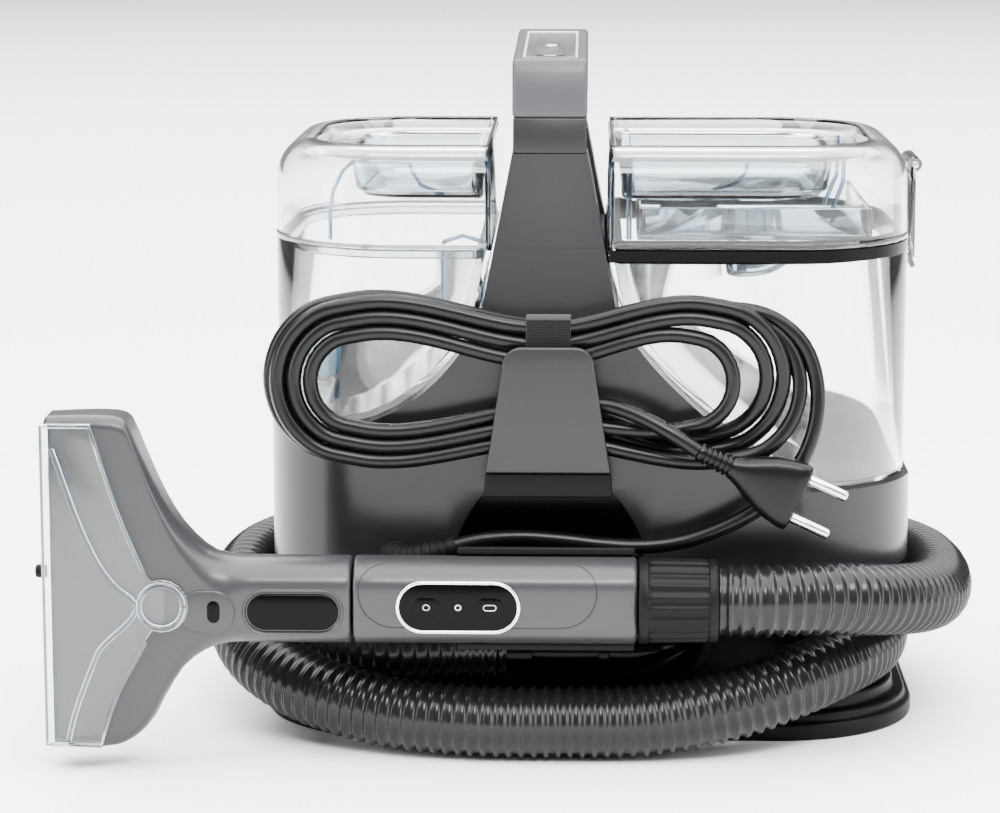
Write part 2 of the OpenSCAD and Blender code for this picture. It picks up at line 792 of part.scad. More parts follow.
module dirty_shell() {
    difference() {
        intersection() {
            front_prism(right_room(tank_gap, rim_z), -far, far);
            tank_plan(0, shell_z, rim_z);
        }
        intersection() {
            front_prism(right_room(tank_gap + tank_wall, rim_z + 1), -far, far);
            tank_plan(tank_wall, shell_z, rim_z + 1);
        }
    }
}

latch_w = 34;
pin_d = 3;
latch_x = half_w - tank_in + 4.5;
latch_z = lid_z - 14;

module dirty_lid() {
    color("#d8e4ea", 0.45) union() {
        lid_shell(1, dirty_pocket_x, pocket_l, pocket_d);
        lid_lip(1);
        for (s = [-1, 1])
            difference() {
                translate([half_w - tank_in - 1.8, s * (latch_w / 2 + 2.5) - 2, latch_z - 5]) cube([9.3, 4, 8]);
                translate([latch_x, 0, latch_z]) rotate([90, 0, 0]) cylinder(h = latch_w + 20, d = pin_d, center = true, $fn = 32);
            }
    }
}

module dirty_seal() {
    color("#151516") lip_seal(1);
}

duct_x = tower_x + 53;
separator_x0 = tower_x + 40;
separator_x1 = half_w - 22;
separator_y = -front_y - 32;

module separator() {
    color("#cfdde4", 0.5) difference() {
        translate([separator_x0, -separator_y, rim_z + joint_gap + 1])
            cube([separator_x1 - separator_x0, 2 * separator_y, 15]);
        translate([separator_x0 + 2, 2 - separator_y, rim_z + joint_gap + 3])
            cube([separator_x1 - separator_x0 - 4, 2 * separator_y - 4, 15]);
        translate([duct_x, separator_y - 22, rim_z - 5]) cube([28, 20, 30]);
        translate([separator_x0 + 58, 0, rim_z - 5]) cylinder(h = 20, d = 18, $fn = 48);
    }
}

module intake_duct() {
    color("#b9c9d2", 0.6) difference() {
        translate([duct_x - 2, separator_y - 24, flare_z - 14])
            cube([32, 24, tank_h - flare_h + 14 + joint_gap + 1]);
        translate([duct_x, separator_y - 22, flare_z - 20]) cube([28, 20, 100]);
    }
}

cage_x = separator_x0 + 58;
cage_h = 34;

module float_cage() {
    color("#9fb4bf", 0.6) translate([cage_x, 0, rim_z + joint_gap + 1 - cage_h]) difference() {
        cylinder(h = cage_h, d = float_d + 6, $fn = fine);
        translate([0, 0, 2]) cylinder(h = cage_h, d = float_d + 2, $fn = fine);
        for (a = [0, 60, 120])
            rotate([0, 0, a]) translate([-30, -3, 5]) cube([60, 6, cage_h - 9]);
    }
}

module float() {
    color("#e8edf0") translate([cage_x, 0, rim_z + joint_gap + 1 - cage_h + 2.3]) cylinder(h = 18, d = float_d, $fn = fine);
}

module lid_latch() {
    color("#cfdbe1", 0.6) difference() {
        union() {
            translate([latch_x - 1.6, -latch_w / 2, catch_z - 5]) cube([2.4, latch_w, latch_z - catch_z + 5]);
            translate([latch_x, 0, latch_z]) rotate([90, 0, 0]) cylinder(h = latch_w, d = 7, center = true, $fn = 48);
            translate([half_w - tank_in + 0.5, -latch_w / 2 + 4, catch_z - 4]) cube([3.4, latch_w - 8, 3.5]);
            translate([latch_x - 1, -latch_w / 2, catch_z - 10]) rotate([0, -20, 0]) cube([2.4, latch_w, 6.5]);
        }
        translate([latch_x, 0, latch_z]) rotate([90, 0, 0]) cylinder(h = latch_w + 2, d = pin_d + 0.1, center = true, $fn = 48);
    }
}

module latch_pin() {
    color("#9ea1a4") translate([latch_x, 0, latch_z]) rotate([90, 0, 0])
        cylinder(h = latch_w + 8, d = pin_d, center = true, $fn = 48);
}

/* ---------- hand tool ---------- */

panel_x = grip_x0 + 47;
tool_panel_l = 51;
tool_panel_h = 19.5;
inset = 1.2;
bore_d = tool_d - 15;
spigot_bore = bore_d - 5;

module front_cut() {
    translate([mouth_x - 50, face_y - 60, 0]) cube([400, 60, 300]);
}

module tool_grip() {
    color("#5f6064") difference() {
        x_cylinder(grip_x0, grip_x1, tool_d, tool_y, tool_z);
        front_cut();
        x_cylinder(grip_x0 - 1, grip_x1 + 1, bore_d, tool_y, tool_z);
        oblong(panel_x, tool_z, tool_panel_l, tool_panel_h, face_y - 5, face_y + inset);
        for (s = [-1, 1])
            oblong(panel_x + s * 14, tool_z, 13, 10, face_y - 5, face_y + 2.6);
    }
}

module tool_panel_ring() {
    color("#d4d5d7") difference() {
        oblong(panel_x, tool_z, tool_panel_l, tool_panel_h, face_y, face_y + inset);
        oblong(panel_x, tool_z, tool_panel_l - 2.4, tool_panel_h - 2.4, face_y - 1, face_y + inset + 1);
    }
}

module tool_panel() {
    color("#141416") difference() {
        oblong(panel_x, tool_z, tool_panel_l - 2.5, tool_panel_h - 2.5, face_y + 0.3, face_y + inset);
        for (s = [-1, 1])
            oblong(panel_x + s * 14, tool_z, 13, 10, face_y - 1, face_y + inset + 1);
    }
}

module panel_button(x) {
    oblong(x, tool_z, 13 - 2 * button_gap, 10 - 2 * button_gap, face_y + 0.1, face_y + 1.4);
}

module spray_button() {
    color("#1d1d20") panel_button(panel_x + 14);
}

module mode_button() {
    color("#1d1d20") panel_button(panel_x - 14);
}

// Front outline of the head: a wide mouth that flares in to the neck
head_top = mouth_z + mouth_w / 2;
head_low = mouth_z - mouth_w / 2;
head_points = concat(
    [[mouth_x, head_low + 2], [mouth_x, head_top - 2], [mouth_x + 2, head_top]],
    curve([mouth_x + 38, head_top], [mouth_x + 45, head_top - 42],
          [mouth_x + 56, tool_z + tool_d / 2 - 1], [neck_x0 + 8, tool_z + tool_d / 2 - 1], 10),
    curve([neck_x0 + 8, tool_z - tool_d / 2 + 1], [mouth_x + 56, tool_z - tool_d / 2 + 1],
          [mouth_x + 45, head_low + 42], [mouth_x + 38, head_low], 10),
    [[mouth_x + 2, head_low]]);

// Plan outline of the head: thin at the mouth and as thick as the tool at the neck
head_y0 = face_y + 1;
function head_plan(i) = [
    [mouth_x - 1, head_y0 + i], [neck_x0 + 30, head_y0 + i], [neck_x0 + 30, tool_y + tool_d / 2 - i],
    [neck_x0, tool_y + tool_d / 2 - 2 - i], [mouth_x - 1, head_y0 + mouth_t - i]];

module head_slab(i) {
    translate([0, 0, head_low + i]) linear_extrude(mouth_w - 2 * i) polygon(head_plan(i));
}

release_x = neck_x0 + 41;
release_z = tool_z - 2.5;
release_l = 41;
release_h = 17;

module nozzle_head() {
    color("#5f6064") difference() {
        union() {
            intersection() {
                front_prism(head_points, -far * 2, far);
                head_slab(0);
            }
            x_cylinder(neck_x0, grip_x0 - joint_gap, tool_d, tool_y, tool_z);
            x_cylinder(grip_x0 - 1, grip_x0 + 12, bore_d - 2 * joint_gap, tool_y, tool_z);
        }
        front_cut();
        x_cylinder(neck_x0 - 20, grip_x0 + 20, spigot_bore, tool_y, tool_z);
        front_prism([[mouth_x - 1, head_low + 3], [mouth_x - 1, head_top - 3],
                     [mouth_x + 10, head_top - 6], [neck_x0 + 4, tool_z + 11],
                     [neck_x0 + 4, tool_z - 11], [mouth_x + 10, head_low + 6]],
                    head_y0 + 3, head_y0 + mouth_t - 3);
        oblong(release_x, release_z, release_l, release_h, face_y - 5, face_y + 4);
    }
}

window_t = 2.2;

module nozzle_window() {
    color("#e3ebee", 0.4) front_prism(
        [[mouth_x - 5, head_low + 1], [mouth_x - 5, head_top - 1], [mouth_x + 6, head_top - 1],
         [mouth_x + 16, head_top - 24], [neck_x0 - 16, tool_z + 22], [neck_x0 + 12, tool_z + 14],
         [neck_x0 + 16, tool_z + 8], [neck_x0 + 16, tool_z - 8], [neck_x0 + 12, tool_z - 14],
         [neck_x0 - 16, tool_z - 22], [mouth_x + 16, head_low + 24], [mouth_x + 6, head_low + 1]],
        face_y - window_t - 0.1, face_y - 0.1);
}

module spray_tip() {
    color("#26272a") x_cylinder(mouth_x - 6, mouth_x, 6, head_y0 + mouth_t - 3.2, mouth_z + 4);
}

module release_button() {
    color("#0f0f10") oblong(release_x, release_z, release_l - 2 * button_gap, release_h - 2 * button_gap,
                            face_y - 1, face_y + 1.7);
}

cuff_d = hose_d + 3;

module hose_cuff() {
    color("#161617") difference() {
        union() {
            x_cylinder(grip_x1 + joint_gap, grip_x1 + cuff_l, cuff_d, tool_y, tool_z);
            for (i = [0:8])
                x_cylinder(grip_x1 + 3 + i * 3.6, grip_x1 + 4.6 + i * 3.6, cuff_d + 1.4, tool_y, tool_z);
            x_cylinder(grip_x1 - 14, grip_x1 + 1, bore_d - 0.16, tool_y, tool_z);
        }
        x_cylinder(grip_x1 - 15, grip_x1 + cuff_l - 3, spigot_bore, tool_y, tool_z);
    }
}

/* ---------- hose and lead ---------- */

module hose() {
    color("#2b2b2d") tube_along(hose_route, hose_d, 12, [0, 0, 1]);
}

module lead_run() {
    color("#151516") tube_along(lead_route, lead_d, 8, [0, 0, 1]);
}

module lead_tail() {
    color("#151516") tube_along(tail_route, lead_d, 8, [0, 0, 1]);
}

hank_y0 = -112.5;
hank_y1 = -97;
hank_z = 169;

// Outline of the wound lead: two loops that meet behind the hook
hank_outer = concat(
    arc(-113, hank_z, 35, 90, 270, 12), [[-60, 146], [-38, 150], [0, 150], [30, 146]],
    arc(70, hank_z, 35, -90, 90, 12), [[30, 198], [0, 196], [-38, 196], [-60, 200]]);

module lead_hank() {
    color("#151516") difference() {
        front_prism(hank_outer, hank_y0, hank_y1);
        front_prism(concat(arc(-108, hank_z, 22, 90, 270, 8), [[-62, 158], [-50, 166], [-50, 172], [-62, 180]]),
                    hank_y0 - 1, hank_y1 + 1);
        front_prism(concat(arc(66, hank_z, 22, -90, 90, 8), [[24, 180], [12, 172], [12, 166], [24, 158]]),
                    hank_y0 - 1, hank_y1 + 1);
        translate([tower_x - 13.5, hank_y0 - 1, stem_z - 4.5]) cube([27, 30, 9]);
    }
}

module lead_tie() {
    color("#101011") difference() {
        translate([tower_x - 10, hank_y0 - 1.2, stem_z + 5]) cube([20, hank_y1 - hank_y0 + 2.4, 26]);
        translate([tower_x - 11, hank_y0, stem_z + 4]) cube([22, hank_y1 - hank_y0, 25.6]);
    }
}

// Flat two-pin plug lying against the front, its pins pointing down to the right
plug_turn = 25;
plug_tail = [48, -120, 140];
plug_l = 50;
pin_pitch = 19;

module plug_frame() {
    translate(plug_tail) rotate([0, plug_turn, 0]) translate([plug_l, 0, 0]) children();
}

module plug_body() {
    color("#131314") plug_frame() {
        hull() {
            for (s = [-1, 1]) translate([-7, 0, s * 12.5]) rotate([90, 0, 0]) cylinder(h = 14, d = 7, center = true, $fn = 24);
            for (s = [-1, 1]) translate([-1, 0, s * 14]) cube([2, 12, 4], center = true);
            translate([-30, 0, 0]) rotate([90, 0, 0]) cylinder(h = 11, d = 11, center = true, $fn = 24);
        }
        translate([-plug_l, 0, 0]) rotate([0, 90, 0]) cylinder(h = 20, d1 = lead_d + 1.5, d2 = 10.5, $fn = 32);
    }
}

module plug_pins() {
    color("#c9cbcd") plug_frame() for (s = [-1, 1])
        translate([0, 0, s * pin_pitch / 2]) rotate([0, 90, 0]) cylinder(h = 19, d = 4.8, $fn = 32);
}

rubber_feet();
foot_plate();
groove_core();
front_casing();
rear_casing();
front_tower();
rear_tower();
recess_liner();
tower_band();
handle();
handle_panel();
handle_panel_trim();
power_button();
indicator_lens();
hook_plate();
hook_bracket();
tool_cradle();
hose_port();
port_seal();
vent_grille();
casing_screws();
lead_gland();
suction_motor();
motor_mount();
fan_cover();
suction_duct();
motor_shaft();
impeller();
water_pump();
water_tube();
control_board();
clean_tank();
clean_lid();
clean_seal();
clean_valve();
dirty_tank();
dirty_lid();
dirty_seal();
intake_duct();
separator();
float_cage();
float();
lid_latch();
latch_pin();
tool_grip();
tool_panel();
tool_panel_ring();
spray_button();
mode_button();
nozzle_head();
nozzle_window();
spray_tip();
release_button();
hose_cuff();
hose();
lead_run();
lead_hank();
lead_tail();
lead_tie();
plug_body();
plug_pins();
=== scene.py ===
import math

import bmesh
import bpy
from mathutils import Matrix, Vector
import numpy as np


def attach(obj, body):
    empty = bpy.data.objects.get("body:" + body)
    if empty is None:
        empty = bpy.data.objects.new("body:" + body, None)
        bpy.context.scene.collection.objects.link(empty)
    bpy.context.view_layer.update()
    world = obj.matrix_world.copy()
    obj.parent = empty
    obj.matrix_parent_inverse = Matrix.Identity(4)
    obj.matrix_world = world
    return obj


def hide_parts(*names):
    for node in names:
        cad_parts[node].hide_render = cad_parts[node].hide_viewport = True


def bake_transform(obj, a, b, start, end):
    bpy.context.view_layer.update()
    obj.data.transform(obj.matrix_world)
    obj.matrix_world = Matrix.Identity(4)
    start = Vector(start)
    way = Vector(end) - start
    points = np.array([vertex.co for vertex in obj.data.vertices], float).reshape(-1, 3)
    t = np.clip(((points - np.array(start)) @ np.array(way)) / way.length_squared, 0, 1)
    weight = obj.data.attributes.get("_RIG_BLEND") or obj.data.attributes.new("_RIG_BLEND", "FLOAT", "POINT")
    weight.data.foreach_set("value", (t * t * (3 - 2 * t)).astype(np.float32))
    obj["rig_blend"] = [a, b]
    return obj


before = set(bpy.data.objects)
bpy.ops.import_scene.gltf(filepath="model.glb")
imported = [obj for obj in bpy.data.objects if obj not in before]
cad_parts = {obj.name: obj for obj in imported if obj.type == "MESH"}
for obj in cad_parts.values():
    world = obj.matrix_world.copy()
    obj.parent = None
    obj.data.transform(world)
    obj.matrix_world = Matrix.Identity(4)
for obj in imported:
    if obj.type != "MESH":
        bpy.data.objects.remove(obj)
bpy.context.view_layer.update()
mm = 0.001
print("packed frame loaded:", len(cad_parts), "nodes")


# shared helpers: points, meshes and curves

def metres(points):
    return [Vector(p) * mm for p in points]


def smoothRoute(points, spacing):
    # one smooth curve through the points, its tangents weighted by the distance between them
    gaps = [max((b - a).length, 1e-9) for a, b in zip(points, points[1:])]
    slopes = []
    for i, point in enumerate(points):
        if i == 0:
            slopes.append((points[1] - point) / gaps[0])
        elif i == len(points) - 1:
            slopes.append((point - points[-2]) / gaps[-1])
        else:
            before = (point - points[i - 1]) / gaps[i - 1]
            after = (points[i + 1] - point) / gaps[i]
            slopes.append((before * gaps[i] + after * gaps[i - 1]) / (gaps[i] + gaps[i - 1]))
    fine = []
    for i, gap in enumerate(gaps):
        count = 24
        for k in range(count):
            t = k / count
            here = (2 * t ** 3 - 3 * t ** 2 + 1) * points[i] + (t ** 3 - 2 * t ** 2 + t) * gap * slopes[i]
            there = (3 * t ** 2 - 2 * t ** 3) * points[i + 1] + (t ** 3 - t ** 2) * gap * slopes[i + 1]
            fine.append(here + there)
    fine.append(points[-1].copy())
    # walk along it at an even pace
    lengths = [0.0]
    for a, b in zip(fine, fine[1:]):
        lengths.append(lengths[-1] + (b - a).length)
    steps = max(2, round(lengths[-1] / spacing))
    even, k = [], 0
    for i in range(steps + 1):
        goal = lengths[-1] * i / steps
        while k < len(fine) - 2 and lengths[k + 1] < goal:
            k += 1
        share = (goal - lengths[k]) / max(lengths[k + 1] - lengths[k], 1e-12)
        even.append(fine[k].lerp(fine[k + 1], min(max(share, 0), 1)))
    return even, lengths[-1]


def addPiece(name, data, finish, body, replaced=()):
    piece = bpy.data.objects.new(name, data)
    bpy.context.scene.collection.objects.link(piece)
    data.materials.clear()
    data.materials.append(finish)
    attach(piece, body)
    if replaced:
        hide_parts(*replaced)
    return piece


def tubeCurve(name, points, depth, radii=None, resolution=4):
    curve = bpy.data.curves.new(name, "CURVE")
    curve.dimensions = "3D"
    curve.twist_mode = "MINIMUM"
    curve.bevel_depth = depth
    curve.bevel_resolution = resolution
    curve.use_fill_caps = True
    line = curve.splines.new("POLY")
    line.points.add(len(points) - 1)
    for i, point in enumerate(points):
        line.points[i].co = (*point, 1)
        line.points[i].radius = radii[i] if radii else 1
    line.use_smooth = True
    return curve


def meshFromBmesh(name, bm, smoothAngle=35):
    bm.normal_update()
    mesh = bpy.data.meshes.new(name)
    bm.to_mesh(mesh)
    bm.free()
    mesh.shade_smooth()
    mesh.set_sharp_from_angle(angle=math.radians(smoothAngle))
    return mesh


# materials: a small wrapper so that shader maths reads as plain expressions

class Wire:
    def __init__(self, finish, socket):
        self.finish, self.socket = finish, socket

    def maths(self, operation, first, second=0.0):
        return self.finish.node("ShaderNodeMath", {"operation": operation}, {0: first, 1: second})

    def __add__(self, other):
        return self.maths("ADD", self, other)

    def __radd__(self, other):
        return self.maths("ADD", other, self)

    def __rsub__(self, other):
        return self.maths("SUBTRACT", other, self)

    def __mul__(self, other):
        return self.maths("MULTIPLY", self, other)


class Finish:
    def __init__(self, name):
        self.material = bpy.data.materials.new(name)
        self.material.use_nodes = True
        self.tree = self.material.node_tree
        self.tree.nodes.clear()
        self.place = self.node("ShaderNodeTexCoord", output="Object")

    def node(self, kind, settings=None, inputs=None, output=0):
        made = self.tree.nodes.new(kind)
        for key, value in (settings or {}).items():
            setattr(made, key, value)
        for key, value in (inputs or {}).items():
            if isinstance(value, Wire):
                self.tree.links.new(value.socket, made.inputs[key])
            else:
                made.inputs[key].default_value = value
        return Wire(self, made.outputs[output])

    def noise(self, scale, detail=2.0, roughness=0.5, stretch=(1, 1, 1)):
        spot = self.node("ShaderNodeMapping", {}, {"Vector": self.place, "Scale": stretch})
        return self.node("ShaderNodeTexNoise", {}, {"Vector": spot, "Scale": scale, "Detail": detail,
                                                    "Roughness": roughness})

    def blendColours(self, factor, first, second):
        return self.node("ShaderNodeMix", {"data_type": "RGBA"},
                         {0: factor, 6: (*first, 1) if isinstance(first, tuple) else first,
                          7: (*second, 1) if isinstance(second, tuple) else second}, output=2)

    def bump(self, height, distance):
        return self.node("ShaderNodeBump", {}, {"Height": height, "Distance": distance})

    def surface(self, **sockets):
        named = {key.replace("_", " "): value for key, value in sockets.items()}
        shader = self.node("ShaderNodeBsdfPrincipled", {}, named)
        end = self.tree.nodes.new("ShaderNodeOutputMaterial")
        self.tree.links.new(shader.socket, end.inputs["Surface"])
        return self.material


def mouldedPlastic(name, colour, roughness, grain, drift, coat, grainScale=1500, metallic=0.0, shine=0.3):
    # moulded plastic: a fine spark-eroded grain, faint flow patches and uneven gloss
    f = Finish(name)
    patches = f.noise(14, 3)
    fine = f.noise(grainScale, 2, 0.6)
    dark = tuple(c * (1 - drift) for c in colour)
    light = tuple(min(1, c * (1 + drift)) for c in colour)
    tone = f.blendColours(patches, dark, light)
    gloss = roughness - 0.05 + patches * 0.06 + fine * 0.05
    return f.surface(Base_Color=tone, Roughness=gloss, Metallic=metallic, Coat_Weight=coat,
                     Coat_Roughness=0.08, Specular_IOR_Level=shine, Normal=f.bump(fine, grain))


# colour, roughness, depth of the grain, drift of the tone, clear coat, and what else differs
plainFinishes = {
    "satinGrey": ((0.040, 0.040, 0.044), 0.38, 0.00004, 0.05, 0.0, {}),
    "toolGrey": ((0.019, 0.019, 0.0208), 0.32, 0.00001, 0.05, 0.04, {"shine": 0.35}),
    "toolShadow": ((0.010, 0.010, 0.011), 0.4, 0.00002, 0.05, 0.0, {"shine": 0.2}),
    "casingGloss": ((0.0085, 0.0085, 0.0095), 0.26, 0.00001, 0.08, 0.0, {"shine": 0.25}),
    "bandGrey": ((0.0105, 0.0105, 0.0112), 0.36, 0.00002, 0.06, 0.0, {"shine": 0.25}),
    "matteBlack": ((0.0028, 0.0028, 0.0031), 0.45, 0.00003, 0.10, 0.0, {"shine": 0.08}),
    "glossBlack": ((0.0008, 0.0008, 0.0010), 0.13, 0.00001, 0.10, 0.0, {"shine": 0.06}),
    "plugBlack": ((0.0020, 0.0020, 0.0022), 0.3, 0.00002, 0.10, 0.0, {"shine": 0.15}),
    "panelGrey": ((0.042, 0.042, 0.046), 0.30, 0.00003, 0.05, 0.1, {}),
    "trimPale": ((0.62, 0.62, 0.63), 0.22, 0.00002, 0.04, 0.3, {}),
    "whitePlastic": ((0.7, 0.71, 0.72), 0.35, 0.00004, 0.04, 0.1, {}),
    "rubber": ((0.0022, 0.0022, 0.0025), 0.6, 0.00006, 0.14, 0.0, {"shine": 0.1}),
    "valveBlue": ((0.05, 0.20, 0.32), 0.28, 0.00003, 0.08, 0.3, {}),
    "board": ((0.02, 0.12, 0.06), 0.45, 0.00006, 0.15, 0.1, {"grainScale": 700}),
    "motorPaint": ((0.30, 0.30, 0.31), 0.40, 0.00008, 0.10, 0.0, {"grainScale": 900, "metallic": 0.5})}
finishes = {name: mouldedPlastic(name, *row, **others) for name, (*row, others) in plainFinishes.items()}
print("plain finishes made:", len(finishes))


def casingPlastic():
    # gloss black-grey of the shell, with painted light up the tower: its colour lightens with height to stand
    # in for the light the leaning tower catches from above
    f = Finish("casingShell")
    patches, fine = f.noise(14, 3), f.noise(1500, 2, 0.6)
    height = f.node("ShaderNodeSeparateXYZ", {}, {"Vector": f.place}, output=2)
    # painted light: a height mask that lightens the colour, and raises the roughness, from the bell up into
    # the tower
    up = f.node("ShaderNodeMapRange", {}, {"Value": height, "From Min": 0.14, "From Max": 0.25})
    low = f.blendColours(patches, (0.0075, 0.0075, 0.0083), (0.0090, 0.0090, 0.0099))
    # painted highlight: the lower colour blended to a lighter grey up the tower by the height mask
    tone = f.blendColours(up, low, (0.0190, 0.0190, 0.0202))
    return f.surface(Base_Color=tone, Roughness=0.2 + patches * 0.06 + up * 0.08, Specular_IOR_Level=0.25,
                     Normal=f.bump(fine, 0.000006))


finishes["casingShell"] = casingPlastic()


def tieWeave():
    # hook-and-loop band: a plain weave of fine threads
    f = Finish("tieWeave")
    threads = {"Vector": f.place, "Scale": 260.0}
    waves = [f.node("ShaderNodeTexWave", {"bands_direction": way}, threads, output=1) for way in ("X", "Z")]
    weave = waves[0] * waves[1]
    tone = f.blendColours(weave, (0.0012, 0.0012, 0.0014), (0.006, 0.006, 0.0065))
    return f.surface(Base_Color=tone, Roughness=0.95 - weave * 0.1, Specular_IOR_Level=0.1, Sheen_Weight=0.15,
                     Normal=f.bump(weave, 0.0002))


finishes["tieWeave"] = tieWeave()


def drawnMetal(name, colour, roughness, stretch):
    # drawn metal: long fine scratches along its own length, with a slightly uneven polish
    f = Finish(name)
    streaks = f.noise(900, 3, 0.6, stretch)
    cloud = f.noise(60, 2)
    tone = f.blendColours(cloud, tuple(c * 0.9 for c in colour), colour)
    return f.surface(Base_Color=tone, Metallic=1.0, Roughness=roughness - 0.05 + streaks * 0.12,
                     Normal=f.bump(streaks, 0.00002))


finishes["steel"] = drawnMetal("steel", (0.62, 0.62, 0.63), 0.28, (1, 0.06, 1))
finishes["pinMetal"] = drawnMetal("pinMetal", (0.86, 0.85, 0.83), 0.2, (0.08, 1, 0.08))
finishes["silverRing"] = drawnMetal("silverRing", (0.88, 0.88, 0.89), 0.16, (0.1, 1, 1))


def clearPlastic(name, tint, haze, roughness=0.03, ior=1.45):
    # clear moulded styrene: bright inside, with faint flow haze
    f = Finish(name)
    flow = f.noise(9, 3, 0.5, (1, 1, 0.3))
    tone = f.blendColours(flow, tuple(c * (1 - haze) for c in tint), tint)
    return f.surface(Base_Color=tone, Roughness=roughness + flow * 0.02, Transmission_Weight=1.0, IOR=ior)


finishes["clear"] = clearPlastic("clear", (0.97, 0.98, 0.985), 0.02)
finishes["clearBlue"] = clearPlastic("clearBlue", (0.74, 0.82, 0.87), 0.06)
finishes["clearEdge"] = clearPlastic("clearEdge", (0.16, 0.24, 0.33), 0.1, 0.06)
finishes["pocketBlue"] = clearPlastic("pocketBlue", (0.70, 0.77, 0.82), 0.06, 0.05, 1.2)
finishes["smokeGrey"] = clearPlastic("smokeGrey", (0.62, 0.66, 0.68), 0.1, 0.08)
print("clear finishes made")

# camera, light and floor

view = {"place": (0.0, -1.595, 0.420), "pitch": 80.0, "yaw": 1.567, "lens": 121.07}


def makeStage():
    camera = bpy.data.objects.new("camera", bpy.data.cameras.new("camera"))
    camera.data.lens = view["lens"]
    camera.data.sensor_width = 36
    camera.location = view["place"]
    camera.rotation_euler = (math.radians(view["pitch"]), 0, math.radians(view["yaw"]))
    bpy.context.scene.collection.objects.link(camera)
    bpy.context.scene.camera = camera

    lamps = {"overhead": ((0.0, 1.2, 3.2), 6.5, 6.5, 1500, (0, 1.2, 0)),
             "leftBox": ((-1.6, -0.8, 0.8), 0.8, 1.5, 45, (0, 0, 0.15)),
             "rightBox": ((1.6, -0.6, 0.8), 0.8, 1.5, 36, (0, 0, 0.15)),
             "frontBox": ((0.3, -2.0, 2.2), 1.6, 0.7, 150, (0, 0, 0.15))}
    for name, (place, width, height, power, aim) in lamps.items():
        light = bpy.data.lights.new(name, "AREA")
        light.shape, light.size, light.size_y, light.energy = "RECTANGLE", width, height, power
        lamp = bpy.data.objects.new(name, light)
        lamp.location = place
        lamp.rotation_euler = (Vector(aim) - Vector(place)).to_track_quat("-Z", "Y").to_euler()
        bpy.context.scene.collection.objects.link(lamp)

    world = bpy.data.worlds.new("studio")
    world.use_nodes = True
    sky = world.node_tree.nodes["Background"]
    sky.inputs["Color"].default_value = (1, 1, 1, 1)
    sky.inputs["Strength"].default_value = 0.42
    bpy.context.scene.world = world

    bm = bmesh.new()
    bmesh.ops.create_grid(bm, x_segments=1, y_segments=1, size=9)
    floor = bpy.data.objects.new("floor", meshFromBmesh("floor", bm))
    bpy.context.scene.collection.objects.link(floor)
    f = Finish("floorPaper")
    tone = f.blendColours(f.noise(2.5, 2), (0.86, 0.86, 0.86), (0.88, 0.88, 0.88))
    floor.data.materials.append(f.surface(Base_Color=tone, Roughness=0.7))


makeStage()
print("camera, lights and floor placed")

# the suction hose, twice round the base and up to the hand tool

hoseSize = {"diameter": 0.033, "pitch": 0.0055, "ribHeight": 0.0016}
hoseRoute = metres([
    (-38, -84, 40), (-62, -84, 40), (-93, -78, 38), (-121, -55, 36), (-138, -22, 35), (-138, 16, 35),
    (-126, 49, 35), (-98, 73, 35), (-62, 84, 35), (-20, 84, 35), (20, 84, 35), (62, 84, 35), (100, 72, 35),
    (126, 48, 35), (138, 13, 35), (136, -24, 36), (130, -56, 36), (116, -86, 36), (94, -109, 32),
    (64, -121, 24), (28, -126, 18), (-12, -127, 17), (-52, -126, 17), (-92, -118, 19), (-128, -101, 25),
    (-154, -74, 34), (-166, -40, 45), (-167, 0, 54), (-160, 40, 57), (-141, 75, 57), (-108, 99, 57),
    (-66, 109, 57), (-22, 110, 57), (22, 110, 57), (66, 109, 57), (108, 99, 57), (141, 75, 57),
    (160, 40, 58), (166, 0, 59), (164, -38, 60), (154, -76, 64), (132, -108, 70), (104, -129, 75),
    (79, -136, 75.5), (57, -136, 75.5)])


def hoseVinyl():
    f = Finish("hoseVinyl")
    smudge = f.noise(40, 3)
    fine = f.noise(1200, 2)
    tone = f.blendColours(smudge, (0.0045, 0.0045, 0.005), (0.0075, 0.0075, 0.008))
    return f.surface(Base_Color=tone, Roughness=0.16 + smudge * 0.1, Specular_IOR_Level=0.2,
                     Normal=f.bump(fine, 0.00003))


def makeHose():
    # six rings for each rib: a narrow crest and a wide valley
    shares = [(0.0, 1.0), (0.13, 0.78), (0.30, 0.12), (0.50, 0.0), (0.70, 0.12), (0.87, 0.78)]
    line, length = smoothRoute(hoseRoute, 0.002)
    ribs = round(length / hoseSize["pitch"])
    points, radii = [], []
    depth = hoseSize["diameter"] / 2
    for i in range(ribs):
        for share, height in shares:
            spot = (i + share) / ribs * (len(line) - 1)
            k = min(int(spot), len(line) - 2)
            points.append(line[k].lerp(line[k + 1], spot - k))
            radii.append(1 - hoseSize["ribHeight"] * (1 - height) / depth)
    points.append(line[-1])
    radii.append(1 - hoseSize["ribHeight"] / depth)
    curve = tubeCurve("hoseLine", points, depth, radii, 9)
    holder = bpy.data.objects.new("hoseLine", curve)
    bpy.context.scene.collection.objects.link(holder)
    bpy.context.view_layer.update()
    mesh = bpy.data.meshes.new_from_object(holder.evaluated_get(bpy.context.evaluated_depsgraph_get()))
    bpy.data.objects.remove(holder)
    bpy.data.curves.remove(curve)
    mesh.name = "suctionHose"
    mesh.materials.clear()
    mesh.materials.append(hoseVinyl())
    mesh.shade_smooth()
    hose = bpy.data.objects.new("suctionHose", mesh)
    bpy.context.scene.collection.objects.link(hose)
    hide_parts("hose")
    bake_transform(hose, "machine", "hand_tool", start=line[-90], end=line[-1])
    # its last stretch swings out with the hand tool: the weight goes along the hose, not across it
    weights = mesh.attributes["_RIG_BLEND"].data
    reach = 0.19
    sides = len(mesh.vertices) // len(points)
    for i in range(len(mesh.vertices)):
        ring = min(i // sides, len(points) - 1)
        left = length * (1 - ring / (len(points) - 1))
        t = min(max(1 - (left - 0.02) / reach, 0), 1)
        weights[i].value = t * t * (3 - 2 * t)
    print("hose:", round(length, 3), "m,", ribs, "ribs,", sides, "sides")


makeHose()

